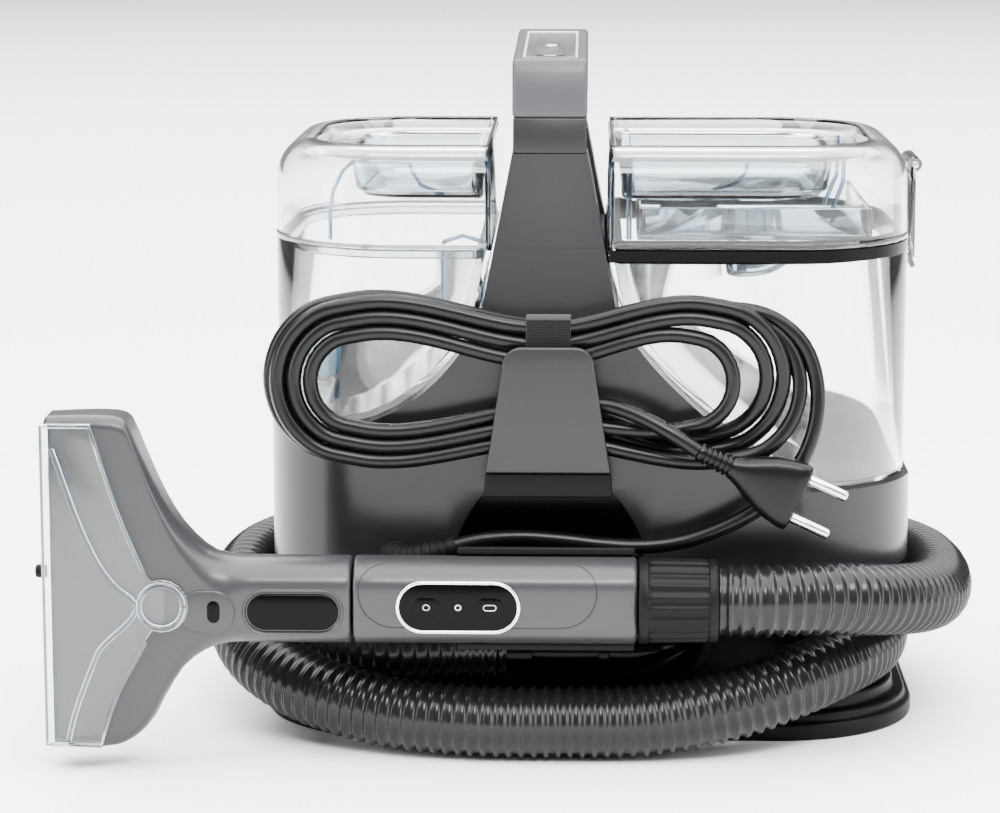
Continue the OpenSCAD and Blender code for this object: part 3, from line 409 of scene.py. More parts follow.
# the mains lead: across the front, wound on the hook, and out to its plug

leadSize = {"diameter": 0.007, "front": -108.9, "back": -101.1, "hookX": -19}
leadRun = [(-88, -98, 86), (-84, -102.3, 86.6), (-79, -105.7, 88), (-73, -108.1, 90.2),
           (-66, -109, 92.2), (-60, -109, 94), (-46, -109, 97),
           (-30, -109, 98), (-14, -109, 97), (4, -109, 95), (22, -109, 94), (40, -109, 96), (58, -109, 102),
           (76, -109, 112), (90, -108, 126), (98, -107, 140), (101, -106, 150)]
leadRise = [(101.5, -103.5, 168), (95, -102, 186), (80, -101.1, 198), (60, -101.1, 201.5), (36, -101.1, 199)]
leadTail = [(9, -110.6, 158.4), (18, -113.4, 156), (27, -116.2, 152.4), (37, -118.8, 147), (48, -120, 140)]
# each turn: layer, left reach, left top, left bottom, height over the hook, height under the hook
leftTurns = [("back", -144.5, 205.0, 133.0, 193.5, 150.0),
             ("front", -141.0, 204.0, 134.0, 193.5, 142.7),
             ("back", -137.0, 197.5, 140.5, 186.0, 157.3),
             ("front", -133.5, 197.0, 141.0, 186.0, 150.0),
             ("front", -126.0, 190.0, 148.0, 178.5, 157.6)]
# the loops on the right between them: right reach, top, bottom
rightTurns = [(86.5, 204.5, 136.5), (94.0, 199.0, 134.0), (79.0, 197.5, 144.0), (64.0, 190.0, 148.5)]


def leadVinyl():
    f = Finish("leadVinyl")
    fine = f.noise(1600, 2)
    smudge = f.noise(55, 3)
    tone = f.blendColours(smudge, (0.0014, 0.0014, 0.0016), (0.003, 0.003, 0.0033))
    return f.surface(Base_Color=tone, Roughness=0.24 + smudge * 0.14, Specular_IOR_Level=0.18,
                     Normal=f.bump(fine, 0.00003))


finishes["leadVinyl"] = leadVinyl()


def halfLoop(centreX, reach, top, bottom, first, last, layers):
    # seven points round one end of the winding
    points = []
    for k in range(7):
        angle = math.radians(first + (last - first) * k / 6)
        y = layers[0] + (layers[1] - layers[0]) * min(max((k - 1) / 4, 0), 1)
        points.append((centreX + (reach - centreX) * abs(math.cos(angle)), y,
                       (top + bottom) / 2 + (top - bottom) / 2 * math.sin(angle)))
    return points


def windLead():
    points = list(leadRun)
    points += leadRise
    for i, (layer, reach, top, bottom, over, under) in enumerate(leftTurns):
        y = leadSize[layer]
        points.append((leadSize["hookX"], y, over))
        points += halfLoop(reach + (top - bottom) / 2, reach, top, bottom, 90, 270, (y, y))
        points.append((leadSize["hookX"], y, under))
        if i < len(rightTurns):
            following = leadSize[leftTurns[i + 1][0]]
            reach, top, bottom = rightTurns[i]
            points += halfLoop(reach - (top - bottom) / 2, reach, top, bottom, -90, 90, (y, following))
    points += leadTail
    return metres(points)


def makeLead():
    line, length = smoothRoute(windLead(), 0.0045)
    curve = tubeCurve("mainsLead", line, leadSize["diameter"] / 2, None, 6)
    lead = addPiece("mainsLead", curve, finishes["leadVinyl"], "machine",
                    ("lead_run", "lead_hank", "lead_tail"))
    print("mains lead:", round(length, 3), "m")
    return lead, length


mainsLead, leadLength = makeLead()
# shapes: rings joined into a loft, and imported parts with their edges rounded

def ringPoints(x0, x1, y0, y1, radii, z, steps=9):
    # rounded rectangle at a height; radii at (x0, y0), (x1, y0), (x1, y1), (x0, y1)
    corners = ((x0, y0, 1, 1, 180), (x1, y0, -1, 1, 270), (x1, y1, -1, -1, 0), (x0, y1, 1, -1, 90))
    points = []
    for (x, y, inX, inY, start), radius in zip(corners, radii):
        for k in range(steps + 1):
            angle = math.radians(start + 90 * k / steps)
            points.append(Vector((x + inX * radius + radius * math.cos(angle),
                                  y + inY * radius + radius * math.sin(angle), z)) * mm)
    return points


def joinRings(bm, rings, capFirst=True, capLast=True):
    loops = []
    for ring in rings:
        verts = [bm.verts.new(point) for point in ring]
        loops.append([bm.edges.new((verts[i - 1], verts[i])) for i in range(len(verts))])
    for lower, upper in zip(loops, loops[1:]):
        bmesh.ops.bridge_loops(bm, edges=lower + upper)
    for wanted, loop in ((capFirst, loops[0]), (capLast, loops[-1])):
        if wanted:
            bmesh.ops.contextual_create(bm, geom=loop)


def loftPiece(name, rings, finish, body, replaced=(), smoothAngle=35, wall=None, closed=False):
    # with a wall the skin is thickened inwards; a closed loft ends on its first ring
    bm = bmesh.new()
    joinRings(bm, rings, wall is None and not closed, not closed)
    bmesh.ops.remove_doubles(bm, verts=bm.verts, dist=0.00001)
    bmesh.ops.recalc_face_normals(bm, faces=bm.faces)
    piece = addPiece(name, meshFromBmesh(name, bm, smoothAngle), finishes[finish], body, replaced)
    if wall:
        thick = piece.modifiers.new("wall", "SOLIDIFY")
        thick.thickness = wall * mm
        thick.offset = -1
        thick.use_even_offset = True
    return piece


def roundedCopy(name, node, finish, body, slot, width, segments, angle=30, chosen=None):
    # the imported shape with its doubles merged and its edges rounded
    bm = bmesh.new()
    bm.from_mesh(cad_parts[node].data)
    bmesh.ops.remove_doubles(bm, verts=bm.verts, dist=0.00001)
    bmesh.ops.dissolve_limit(bm, angle_limit=math.radians(0.6), verts=bm.verts, edges=bm.edges)
    sharp = [e for e in bm.edges if len(e.link_faces) == 2 and e.calc_face_angle(0) > math.radians(angle)]
    if chosen:
        sharp = [e for e in sharp if chosen(e.verts[0].co * 1000) and chosen(e.verts[1].co * 1000)]
    bmesh.ops.bevel(bm, geom=sharp, offset=width * mm, offset_type="OFFSET", affect="EDGES",
                    segments=segments, profile=0.5, material=-1, clamp_overlap=True)
    return addPiece(name, meshFromBmesh(name, bm, 40), finishes[finish], body, (node,))


def barPiece(bm, route, depth, sides=8):
    # a thin round bar along a few points
    points = metres(route)
    rings = []
    for i, point in enumerate(points):
        ahead = (points[min(i + 1, len(points) - 1)] - points[max(i - 1, 0)]).normalized()
        if i == 0:
            across = ahead.orthogonal().normalized()
        else:
            across = (across - ahead * across.dot(ahead)).normalized()
        other = ahead.cross(across)
        turn = [math.tau * k / sides for k in range(sides)]
        rings.append([point + (across * math.cos(a) + other * math.sin(a)) * depth * mm for a in turn])
    joinRings(bm, rings)


def barsPiece(name, bars, finish, body, replaced=(), smoothAngle=50):
    # bars that make one piece, each given by its route, depth and number of sides
    bm = bmesh.new()
    for bar in bars:
        barPiece(bm, *bar)
    return addPiece(name, meshFromBmesh(name, bm, smoothAngle), finishes[finish], body, replaced)


def flatPlate(bm, outline, y0, y1, bevel=0.0, segments=3):
    # a front outline in x and z, thickened from y0 back to y1, its edges rounded
    verts = [bm.verts.new(Vector((x, y0, z)) * mm) for x, z in outline]
    face = bm.faces.new(verts)
    made = bmesh.ops.extrude_face_region(bm, geom=[face])
    back = [g for g in made["geom"] if isinstance(g, bmesh.types.BMVert)]
    bmesh.ops.translate(bm, verts=back, vec=Vector((0, y1 - y0, 0)) * mm)
    if bevel:
        edges = list(dict.fromkeys(e for v in verts for e in v.link_edges if e.other_vert(v) in verts))
        bmesh.ops.bevel(bm, geom=edges, offset=bevel * mm, offset_type="OFFSET", affect="EDGES",
                        segments=segments, profile=0.5, material=-1, clamp_overlap=True)


def platePiece(name, outline, y0, y1, bevel, finish, body, replaced=(), smoothAngle=40):
    bm = bmesh.new()
    flatPlate(bm, outline, y0, y1, bevel)
    return addPiece(name, meshFromBmesh(name, bm, smoothAngle), finishes[finish], body, replaced)


def bezier(a, b, c, d, count):
    points = []
    for i in range(count + 1):
        t = i / count
        s = 1 - t
        points.append(tuple(s ** 3 * p + 3 * s * s * t * q + 3 * s * t * t * r + t ** 3 * w
                            for p, q, r, w in zip(a, b, c, d)))
    return points


def oblongOutline(x, z, length, height, steps=12):
    # two half circles and the straights between them
    radius = height / 2
    points = []
    for side, start in ((1, -90), (-1, 90)):
        for k in range(steps + 1):
            angle = math.radians(start + 180 * k / steps)
            points.append((x + side * (length / 2 - radius) + radius * math.cos(angle),
                           z + radius * math.sin(angle)))
    return points


def roundOutline(outline, y):
    # the route of a bar once round an outline, at one depth
    return [(x, y, z) for x, z in outline + outline[:1]]


# casing: one skin for the bell and the tower, with the black recess behind the hand tool

casingShape = {"halfWidth": 150, "front": -94, "corner": 62, "low": 76, "leftSeat": 143, "rightSeat": 116,
               "flare": 196, "towerTop": 269, "towerX": -19, "flareWidth": 62, "topWidth": 34,
               "lean": 285, "leanFront": -82, "leanBack": 76,
               "handLow": 227, "handFront": -52, "handBack": 44}
recessShape = {"left": -66.0, "right": 29.0, "low": 80.0, "high": 120.0, "foot": 84, "rimDepth": -94}


def leanShare(z):
    # how far up the leaning part of the front and back walls a height is
    s = casingShape
    return min(max((z - s["flare"]) / (s["lean"] - s["flare"]), 0), 1)


def leanFront(z):
    s = casingShape
    return s["front"] + leanShare(z) * (s["leanFront"] - s["front"])


def leanBack(z):
    s = casingShape
    return -s["front"] + leanShare(z) * (s["leanBack"] + s["front"])


def casingRing(xl, zl, xr, zr, steps=12):
    # plan of the casing between its two flanks, which stand at different heights
    s = casingShape
    centre = s["halfWidth"] - s["corner"]
    points = []

    def corner(edge, side, flip):
        # x and the distance in from the wall, as far round the corner as the flank has come
        reach = min((abs(edge) - centre) / s["corner"], 1) if abs(edge) > centre and edge * side > 0 else 0
        first = math.acos(reach) if reach else math.pi / 2
        row = []
        for k in range(steps + 1):
            angle = first + (math.pi / 2 - first) * k / steps
            x = side * (centre + s["corner"] * math.cos(angle)) if reach else edge
            row.append((x, s["corner"] * math.sin(angle) - s["corner"]))
        return row[::-1] if flip else row

    for side, edge, z, low, flip in ((-1, xl, zl, True, False), (1, xr, zr, True, True),
                                     (1, xr, zr, False, False), (-1, xl, zl, False, True)):
        for x, inwards in corner(edge, side, flip):
            wall = leanFront(z) - inwards if low else leanBack(z) + inwards
            points.append(Vector((x, wall, z)) * mm)
    return points


def flankPair(count):
    # both flanks of the bell from the seats up to the flare
    s = casingShape
    left, right, top = s["towerX"] - s["flareWidth"] / 2, s["towerX"] + s["flareWidth"] / 2, s["flare"]
    leftSeat, rightSeat = (-125, s["leftSeat"] + 0.2), (100, s["rightSeat"] + 0.2)
    leftLine = bezier((left, top), (left - 12, 170), (left - 35, 145), leftSeat, count)
    rightLine = bezier((right, top), (right + 13, 172), (right + 48, 140), rightSeat, count)
    return list(zip(reversed(leftLine), reversed(rightLine)))


def towerHalf(z):
    s = casingShape
    share = (z - s["flare"]) / (s["towerTop"] - s["flare"])
    return (s["flareWidth"] + (s["topWidth"] - s["flareWidth"]) * share) / 2


def towerRing(z):
    x, half = casingShape["towerX"], towerHalf(z)
    return casingRing(x - half, z, x + half, z)


def frontWall(bm):
    return [f for f in bm.faces if all(abs(v.co.y - casingShape["front"] * mm) < 1e-6 for v in f.verts)]


def openRecess(bm):
    # cut the front wall along the opening's four sides and take out what lies between them
    r = recessShape
    for place, normal in (((r["left"], 0, 0), (1, 0, 0)), ((r["right"], 0, 0), (1, 0, 0)),
                          ((0, 0, r["low"]), (0, 0, 1)), ((0, 0, r["high"]), (0, 0, 1))):
        geom = list({g for f in frontWall(bm) for g in [f, *f.edges, *f.verts]})
        bmesh.ops.bisect_plane(bm, geom=geom, dist=1e-7, plane_co=Vector(place) * mm, plane_no=normal)
    gone = []
    for f in bm.faces:
        c = f.calc_center_median() / mm
        inside = r["left"] < c.x < r["right"] and r["low"] < c.z < r["high"]
        if abs(c.y - casingShape["front"]) < 0.01 and inside:
            gone.append(f)
    bmesh.ops.delete(bm, geom=gone, context="FACES")


def makeCasing():
    s = casingShape
    wide, left, right = s["halfWidth"], s["leftSeat"], s["rightSeat"]
    # how far in from the flanks, and the heights on the left and on the right
    skirt = [(0, s["low"], s["low"]), (0, 84, 84), (0, 117, 100), (0, left - 2, right - 2),
             (0.4, left - 0.8, right - 0.8), (1.6, left, right), (4, left + 0.1, right + 0.1)]
    rings = [casingRing(inset - wide, zl, wide - inset, zr) for inset, zl, zr in skirt]
    rings += [casingRing(l[0], l[1], r[0], r[1]) for l, r in flankPair(16)]
    rings += [towerRing(z) for z in (205, 216, s["handLow"])]
    bm = bmesh.new()
    joinRings(bm, rings)
    # the tower's two legs, before and behind the hand's opening
    for back in (False, True):
        legs = []
        for z in (s["handLow"] - 0.1, 240, 255, s["towerTop"]):
            half = towerHalf(z)
            y0, y1 = (s["handBack"], leanBack(z)) if back else (leanFront(z), s["handFront"])
            legs.append(ringPoints(s["towerX"] - half, s["towerX"] + half, y0, y1, (0.6,) * 4, z, 2))
        joinRings(bm, legs)
    openRecess(bm)
    bmesh.ops.remove_doubles(bm, verts=bm.verts, dist=0.00001)
    bmesh.ops.dissolve_degenerate(bm, dist=0.00001, edges=bm.edges)
    bmesh.ops.dissolve_limit(bm, angle_limit=math.radians(0.3), verts=bm.verts, edges=bm.edges)
    bmesh.ops.recalc_face_normals(bm, faces=bm.faces)
    addPiece("casingSkin", meshFromBmesh("casingSkin", bm, 32), finishes["casingShell"], "machine",
             ("front_casing", "rear_casing", "front_tower", "rear_tower"))


def archOutline(grow, low):
    # the recess: straight foot, sides that lean in, and a flat top
    a, b, top = -61 - grow, 24 + grow, 117 + grow
    side = bezier((b, low + 9), (b - 3, low + 16), (13 + grow, top), (3, top), 10)
    other = bezier((-41, top), (-51 - grow, top), (a + 3, low + 16), (a, low + 9), 10)
    foot = [(a + (b - a) * k / 8, low - grow) for k in range(9)]
    return foot + side + other


def makeRecess():
    r = recessShape
    midX, midZ = (r["left"] + r["right"]) / 2, (r["low"] + r["high"]) / 2
    frameRing = []
    for x, z in archOutline(0, r["foot"]):
        # push each point out to the frame of the opening
        dx, dz = x - midX, z - midZ
        scale = 1 / max(abs(dx) / ((r["right"] - r["left"]) / 2), abs(dz) / ((r["high"] - r["low"]) / 2))
        frameRing.append(Vector((midX + dx * scale, r["rimDepth"], midZ + dz * scale)) * mm)
    for x in (r["left"], r["right"]):
        for z in (r["low"], r["high"]):
            # the frame's own corners, so that no gap is left beside them
            nearest = min(frameRing, key=lambda p: (p - Vector((x, r["rimDepth"], z)) * mm).length)
            nearest.x, nearest.z = x * mm, z * mm
    rings = [frameRing]
    for grow, depth in ((0.8, r["rimDepth"]), (0.2, -93.8), (0, -93.2), (0, -83), (-1.5, -82)):
        rings.append([Vector((x, depth, z)) * mm for x, z in archOutline(grow, r["foot"])])
    bm = bmesh.new()
    joinRings(bm, rings, False, True)
    bmesh.ops.recalc_face_normals(bm, faces=bm.faces)
    # its hollow side faces the front
    if sum(f.normal.y * f.calc_area() for f in bm.faces) > 0:
        bmesh.ops.reverse_faces(bm, faces=bm.faces)
    mesh = meshFromBmesh("recessTub", bm, 32)
    addPiece("recessTub", mesh, finishes["casingGloss"], "machine", ("recess_liner",))
    mesh.materials.append(finishes["glossBlack"])
    for polygon in mesh.polygons:
        if polygon.center.y > -0.0935:
            polygon.material_index = 1


makeCasing()
makeRecess()
print("casing made")

# lids, their seals and their thick edges

lidShape = {
    "left": (-147, -45.4), "right": (7.4, 147), "leftPocket": (-110, -50), "rightPocket": (14, 110),
    "front": -91, "corner": 59, "tight": 2.5, "pocketFront": -62, "top": 272.0, "round": 17.0, "wall": 2.2,
    # inset of the outer sides, height, and inset of the side beside the handle
    "skirt": [(-0.5, 226.4, 0), (-0.5, 228.6, 0), (0, 229.4, 0), (0.2, 242, 0)],
    "fall": [(18.8, 271.5, 2.2), (19.8, 269.6, 3.0), (21.2, 266.6, 3.4), (23, 266, 4.0)],
    # inset and height of the finger pocket
    "pocket": [(0, 265.7), (1.2, 264.6), (1.8, 262), (3.5, 251), (5.5, 248), (9, 247)]}


def lidRing(side, inset, z, innerInset=0.0):
    s = lidShape
    x0, x1 = s[side]
    big, tight = max(s["corner"] - inset, 6), s["tight"]
    y0, y1 = s["front"] + inset, -s["front"] - inset
    if side == "left":
        return ringPoints(x0 + inset, x1 - innerInset, y0, y1, (big, tight, tight, big), z)
    return ringPoints(x0 + innerInset, x1 - inset, y0, y1, (tight, big, big, tight), z)


def pocketRing(side, inset, z):
    x0, x1 = lidShape[side + "Pocket"]
    y0, y1 = lidShape["pocketFront"] + inset, -lidShape["pocketFront"] - inset
    soft, tight = 26 - inset, 5
    if side == "left":
        return ringPoints(x0 + inset, x1 - min(inset, 2), y0, y1, (soft, tight, tight, soft), z)
    return ringPoints(x0 + min(inset, 2), x1 - inset, y0, y1, (tight, soft, soft, tight), z)


def makeLid(side, body):
    s = lidShape
    rings = [lidRing(side, *step) for step in s["skirt"]]
    for k in range(9):
        angle = math.radians(90 * k / 8)
        rings.append(lidRing(side, 0.4 + s["round"] * (1 - math.cos(angle)),
                             s["top"] - s["round"] + s["round"] * math.sin(angle), 0.15 * k))
    rings += [lidRing(side, *step) for step in s["fall"]]
    rings += [pocketRing(side, *step) for step in s["pocket"]]
    loftPiece(side + "Lid", rings, "clear", body, (body,), 30, s["wall"])


makeLid("left", "clean_lid")
makeLid("right", "dirty_lid")


def makeSeal(side, body, node, low, high, finish):
    # a ring set just inside the tank wall
    profile = [(3.4, low, 4.0), (2.6, low + 0.8, 3.2), (2.6, high - 0.8, 3.2), (3.4, high, 4.0),
               (6, high - 0.2, 6.6), (6, low + 0.2, 6.6), (3.4, low, 4.0)]
    rings = [lidRing(side, *step) for step in profile]
    loftPiece(side + "Seal", rings, finish, body, (node,), 30, closed=True)


makeSeal("right", "dirty_lid", "dirty_seal", 219.4, 230.4, "glossBlack")
makeSeal("left", "clean_lid", "clean_seal", 221.5, 225.8, "smokeGrey")


def makeLidEdges():
    # the thick edges that show dark: posts beside the handle, pocket rims and inner ribs
    def post(x, low, y, lean=0.0):
        return [(x, y, low), (x, y, 250), (x - lean, y * 0.985, 266)], 1.3

    bars = [post(-46.8, 229, y, 0.4) for y in (-88, 88)]
    bars.append(([(-107, -84, 266), (-112, -82, 261), (-116.5, -80, 252), (-118, -79.6, 243),
                  (-118, -79.6, 229.5)], 0.9))
    bars.append(([(-68, -40, 246), (-79, -44, 251), (-83, -47, 258), (-84, -48, 264)], 0.9))
    bars.append(([tuple(p / mm) for p in pocketRing("left", 0.4, 263.4)[2:10]], 1.2))
    barsPiece("leftLidEdges", bars, "clearEdge", "clean_lid", (), 40)
    bars = [post(x, 230.5, y) for x, y in ((9.2, -88), (17, -84), (9.2, 88), (17, 84))]
    bars.append(([(57, -30, 248), (66, -36, 251), (71, -42, 257), (72, -46, 264)], 0.9))
    barsPiece("rightLidEdges", bars, "clearEdge", "dirty_lid", (), 40)


makeLidEdges()


def makePocketBand(side, body):
    # the pocket's thick bluish wall, showing through the lid
    profile = [(-0.3, 265.4), (2.0, 250.0), (3.2, 248.6), (1.4, 248.2), (0.2, 249.4), (-1.9, 265.2),
               (-0.3, 265.4)]
    rings = [pocketRing(side, *step) for step in profile]
    loftPiece(side + "PocketBand", rings, "pocketBlue", body, (), 30, closed=True)


def makeGasket():
    # black gasket round the dirty tank's rim
    profile = [(-0.15, 220.6, 0.1), (-0.6, 221.0, -0.3), (-0.6, 226.0, -0.3), (-0.15, 226.3, 0.1),
               (-0.15, 220.6, 0.1)]
    rings = [lidRing("right", *step) for step in profile]
    loftPiece("rightGasket", rings, "glossBlack", "dirty_lid", (), 30, closed=True)


makeGasket()
makePocketBand("left", "clean_lid")
makePocketBand("right", "dirty_lid")
print("lids made")

# rounded copies of the plain moulded parts: node, finish, body, slot, width of the edge, segments
roundedParts = [
    ("lead_gland", "rubber", "machine", "rubber", 0.6, 3),
    ("lead_tie", "tieWeave", "machine", "tie_fabric", 0.35, 2),
    ("latch_pin", "steel", "dirty_lid", "steel", 0.3, 2),
    ("casing_screws", "steel", "machine", "steel", 0.3, 2),
    ("indicator_lens", "trimPale", "machine", "white_plastic", 0.4, 2),
    ("plug_pins", "pinMetal", "machine", "pin_metal", 0.9, 3),
    ("groove_core", "matteBlack", "machine", "black_matte", 1.0, 2),
    ("rubber_feet", "rubber", "machine", "rubber", 0.7, 2),
    ("foot_plate", "matteBlack", "machine", "black_matte", 2.2, 3),
    ("tower_band", "bandGrey", "machine", "casing", 0.7, 2),
    ("hook_plate", "bandGrey", "machine", "grey_satin", 1.3, 3),
    ("hook_bracket", "matteBlack", "machine", "black_matte", 1.2, 3),
    ("tool_cradle", "matteBlack", "machine", "black_matte", 0.8, 2),
    ("hose_port", "glossBlack", "machine", "black_matte", 0.7, 2),
    ("port_seal", "rubber", "machine", "rubber", 0.5, 2),
    ("vent_grille", "matteBlack", "machine", "black_matte", 0.4, 2),
    ("handle_panel", "panelGrey", "machine", "casing", 0.5, 2),
    ("handle_panel_trim", "trimPale", "machine", "trim", 0.35, 2),
    ("intake_duct", "clearBlue", "dirty_lid", "clear_blue", 0.7, 2),
    ("separator", "clearBlue", "dirty_lid", "clear_blue", 0.7, 2),
    ("float_cage", "clearBlue", "dirty_lid", "clear_blue", 0.4, 2),
    ("float", "whitePlastic", "float", "white_plastic", 1.2, 3),
    ("lid_latch", "clear", "lid_latch", "clear_blue", 0.5, 2),
    ("release_button", "glossBlack", "release_button", "black_gloss", 0.9, 3),
    ("power_button", "panelGrey", "power_button", "black_gloss", 0.6, 3),
    ("clean_valve", "valveBlue", "clean_valve", "valve_blue", 0.6, 2),
    ("clean_tank", "clear", "clean_tank", "clear", 0.5, 2),
    ("dirty_tank", "clear", "dirty_tank", "clear", 0.5, 2),
    ("spray_tip", "matteBlack", "nozzle", "black_matte", 0.8, 2)]
for node, *rest in roundedParts:
    roundedCopy(node + "Round", node, *rest)
# the handle's own flanks only: its sides stand 17 mm from its middle
roundedCopy("handleGrip", "handle", "satinGrey", "machine", "grey_satin", 2.0, 4, 40,
            lambda p: abs(abs(p.x - casingShape["towerX"]) - casingShape["topWidth"] / 2) < 0.4)
print("rounded parts made")


# hand tool: grip, nozzle head, clear cover and hose cuff, each a skin of rings along its length

toolShape = {"axisY": -136.0, "axisZ": 75.5, "radius": 19.5, "flat": 16.6, "soften": 0.9,
             "seam": -105.0, "end": 21.0, "cuffEnd": 57.0, "panelX": -58}


def toolPoint(x, angle, shrink=0.0):
    # a point of the round section, its front softly flattened
    s = toolShape
    ahead, flat, soft = (s["radius"] - shrink) * math.cos(angle), s["flat"] - shrink, s["soften"]
    if ahead > 0:
        near, far = math.exp(-ahead / soft), math.exp(-flat / soft)
        ahead = -soft * math.log(near + far) + soft * near * math.log(2)
    return Vector((x, s["axisY"] - ahead, s["axisZ"] + (s["radius"] - shrink) * math.sin(angle)))


def toolRing(x, shrink=0.0, sides=72):
    return [toolPoint(x, math.tau * k / sides, shrink) * mm for k in range(sides)]


def makeGrip():
    a, b = toolShape["seam"], toolShape["end"]
    # distance in from each end and how far the skin has drawn in there
    first = ((0.4, 4), (0.5, 1.6), (0.7, 0.7), (1.2, 0.2), (2, 0))
    last = ((2, 0), (1.2, 0.25), (0.5, 0.8), (0.1, 1.7), (0, 4))
    rings = [toolRing(a + step, shrink) for step, shrink in first]
    rings += [toolRing(a + 2 + (b - a - 4) * k / 12) for k in range(1, 12)]
    rings += [toolRing(b - step, shrink) for step, shrink in last]
    loftPiece("toolGrip", rings, "toolGrey", "hand_tool", ("tool_grip",), 40)
    # the fine line pressed into it round the thumb's place
    outline = oblongOutline(-49.5, 6.8, 105.5, 32.6, 14)
    line = [tuple(toolPoint(x, across / 19.0, 0.1)) for x, across in outline + outline[:1]]
    barsPiece("gripLine", [(line, 0.33, 6)], "toolShadow", "hand_tool", (), 60)


def makePanel():
    # a black panel with a bright rim, two buttons and their marks
    x, z = toolShape["panelX"], toolShape["axisZ"]
    rim = roundOutline(oblongOutline(x, z, 53.6, 22.2, 14), -152.7)
    barsPiece("panelRim", [(rim, 0.85, 8)], "silverRing", "hand_tool", ("tool_panel_ring",), 60)
    platePiece("panelFace", oblongOutline(x, z, 53, 21.5, 14), -153.0, -151.5, 0.4, "glossBlack", "hand_tool",
               ("tool_panel",))
    for key, aside in (("spray_button", 14), ("mode_button", -14)):
        platePiece(key + "Cap", oblongOutline(x + aside, z, 12.6, 9.6, 12), -153.2, -151.6, 0.3,
                   "glossBlack", key, (key,))
    marks = [(roundOutline(oblongOutline(x, z, 2.5, 2.2, 8), -153.0), 0.25, 6)]
    for aside, length in ((-14, 2.9), (14, 5.6)):
        marks.append((roundOutline(oblongOutline(x + aside, z, length, 2.4, 8), -153.2), 0.16, 6))
    barsPiece("panelMarks", marks, "trimPale", "hand_tool", (), 60)


# the head's upper and lower edge at each place along it
headShape = {"front": -151.6, "back": -118.5, "corner": 6.0, "neck": -200,
             "edges": [(-238.6, 159.6, 9.6), (-226, 160, 9.2), (-217, 160, 9.4), (-210, 159.6, 10.4),
                       (-206, 158.6, 12), (-203.6, 156.5, 13.4), (-200.5, 149.5, 15.6),
                       (-197, 140.5, 18.8), (-193, 131, 24), (-189, 122.6, 32), (-185, 115.4, 39),
                       (-181, 109.6, 45), (-176, 104, 49.6), (-171, 99.6, 52.6), (-166, 96.8, 54.6),
                       (-160, 95.4, 55.6)],
             # place, upper edge, lower edge and inset of the mouth's inside and of its lip
             "mouth": [(-212, 118, 48, 6), (-222, 146, 22, 4), (-232, 156, 13, 3.4), (-239.8, 158, 11, 3),
                       (-240.2, 158.4, 10.8, 1.4), (-240.1, 158.6, 10.6, 0.5)],
             "latch": (-169, 73)}


def headRing(x, top, low, inset=0.0, blendIn=0.0):
    # a rounded box, thinner towards the mouth and rounder towards the grip
    s = headShape
    y0 = s["front"] + inset - blendIn
    y1 = s["back"] - max(0.0, (-172 - x)) * 9.1 / 70 + blendIn * 2 - inset
    most = min((top - low) / 2 - 0.6, (y1 - y0) / 2 - 0.3)
    corner = min(s["corner"] + 11 * blendIn, most)
    back = min(s["corner"] + 12 * blendIn + 1, most)
    ring = ringPoints(low + inset, top - inset, y0, y1, (corner, corner, back, back), 0, 17)
    return [Vector((x * mm, p.y, p.x)) for p in ring]


def makeNozzle():
    s = headShape
    rings = [headRing(*step) for step in s["mouth"]]
    for x, top, low in s["edges"]:
        rings.append(headRing(x, top, low, 0.0, min(max((x - s["neck"]) / 40, 0.0), 1.0)))
    rings += [toolRing(x) for x in (-156, -150, -140, -128, -116, -107.4)]
    last = ((-106.6, 0.25), (-105.9, 0.8), (-105.6, 1.6), (-105.5, 4))
    rings += [toolRing(x, shrink) for x, shrink in last]
    loftPiece("nozzleHead", rings, "toolGrey", "nozzle", ("nozzle_head",), 40)
    # raised surround of the release button, and the latch tongue with its slot; the slot is painted shade, a
    # thin gloss black plate laid on the tongue
    x, z = s["latch"]
    bm = bmesh.new()
    rim, outline = [], oblongOutline(-131, z, 43.4, 19.2, 14)
    for along, up in outline + outline[:1]:
        angle = math.asin((up - toolShape["axisZ"]) / toolShape["radius"])
        rim.append((along, toolPoint(along, angle, 0.2).y, up))
    barPiece(bm, rim, 0.9)
    flatPlate(bm, oblongOutline(x, z, 25, 19, 14), -153.4, -150.0, 0.8)
    addPiece("buttonSurround", meshFromBmesh("buttonSurround", bm, 45), finishes["toolGrey"], "nozzle")
    # painted shade: a black oblong standing in for the dark of the slot's opening
    slot = [(x + 3 - up, z + across) for across, up in oblongOutline(0, 0, 10, 5.6, 10)]
    platePiece("latchSlotShade", slot, -153.7, -152.9, 0.3, "glossBlack", "nozzle", (), 45)


coverShape = {"front": -154.4, "back": -151.9, "ridges": -155, "collar": (-189, 75.6, 12.0),
              "left": -241, "low": 12, "high": 157}


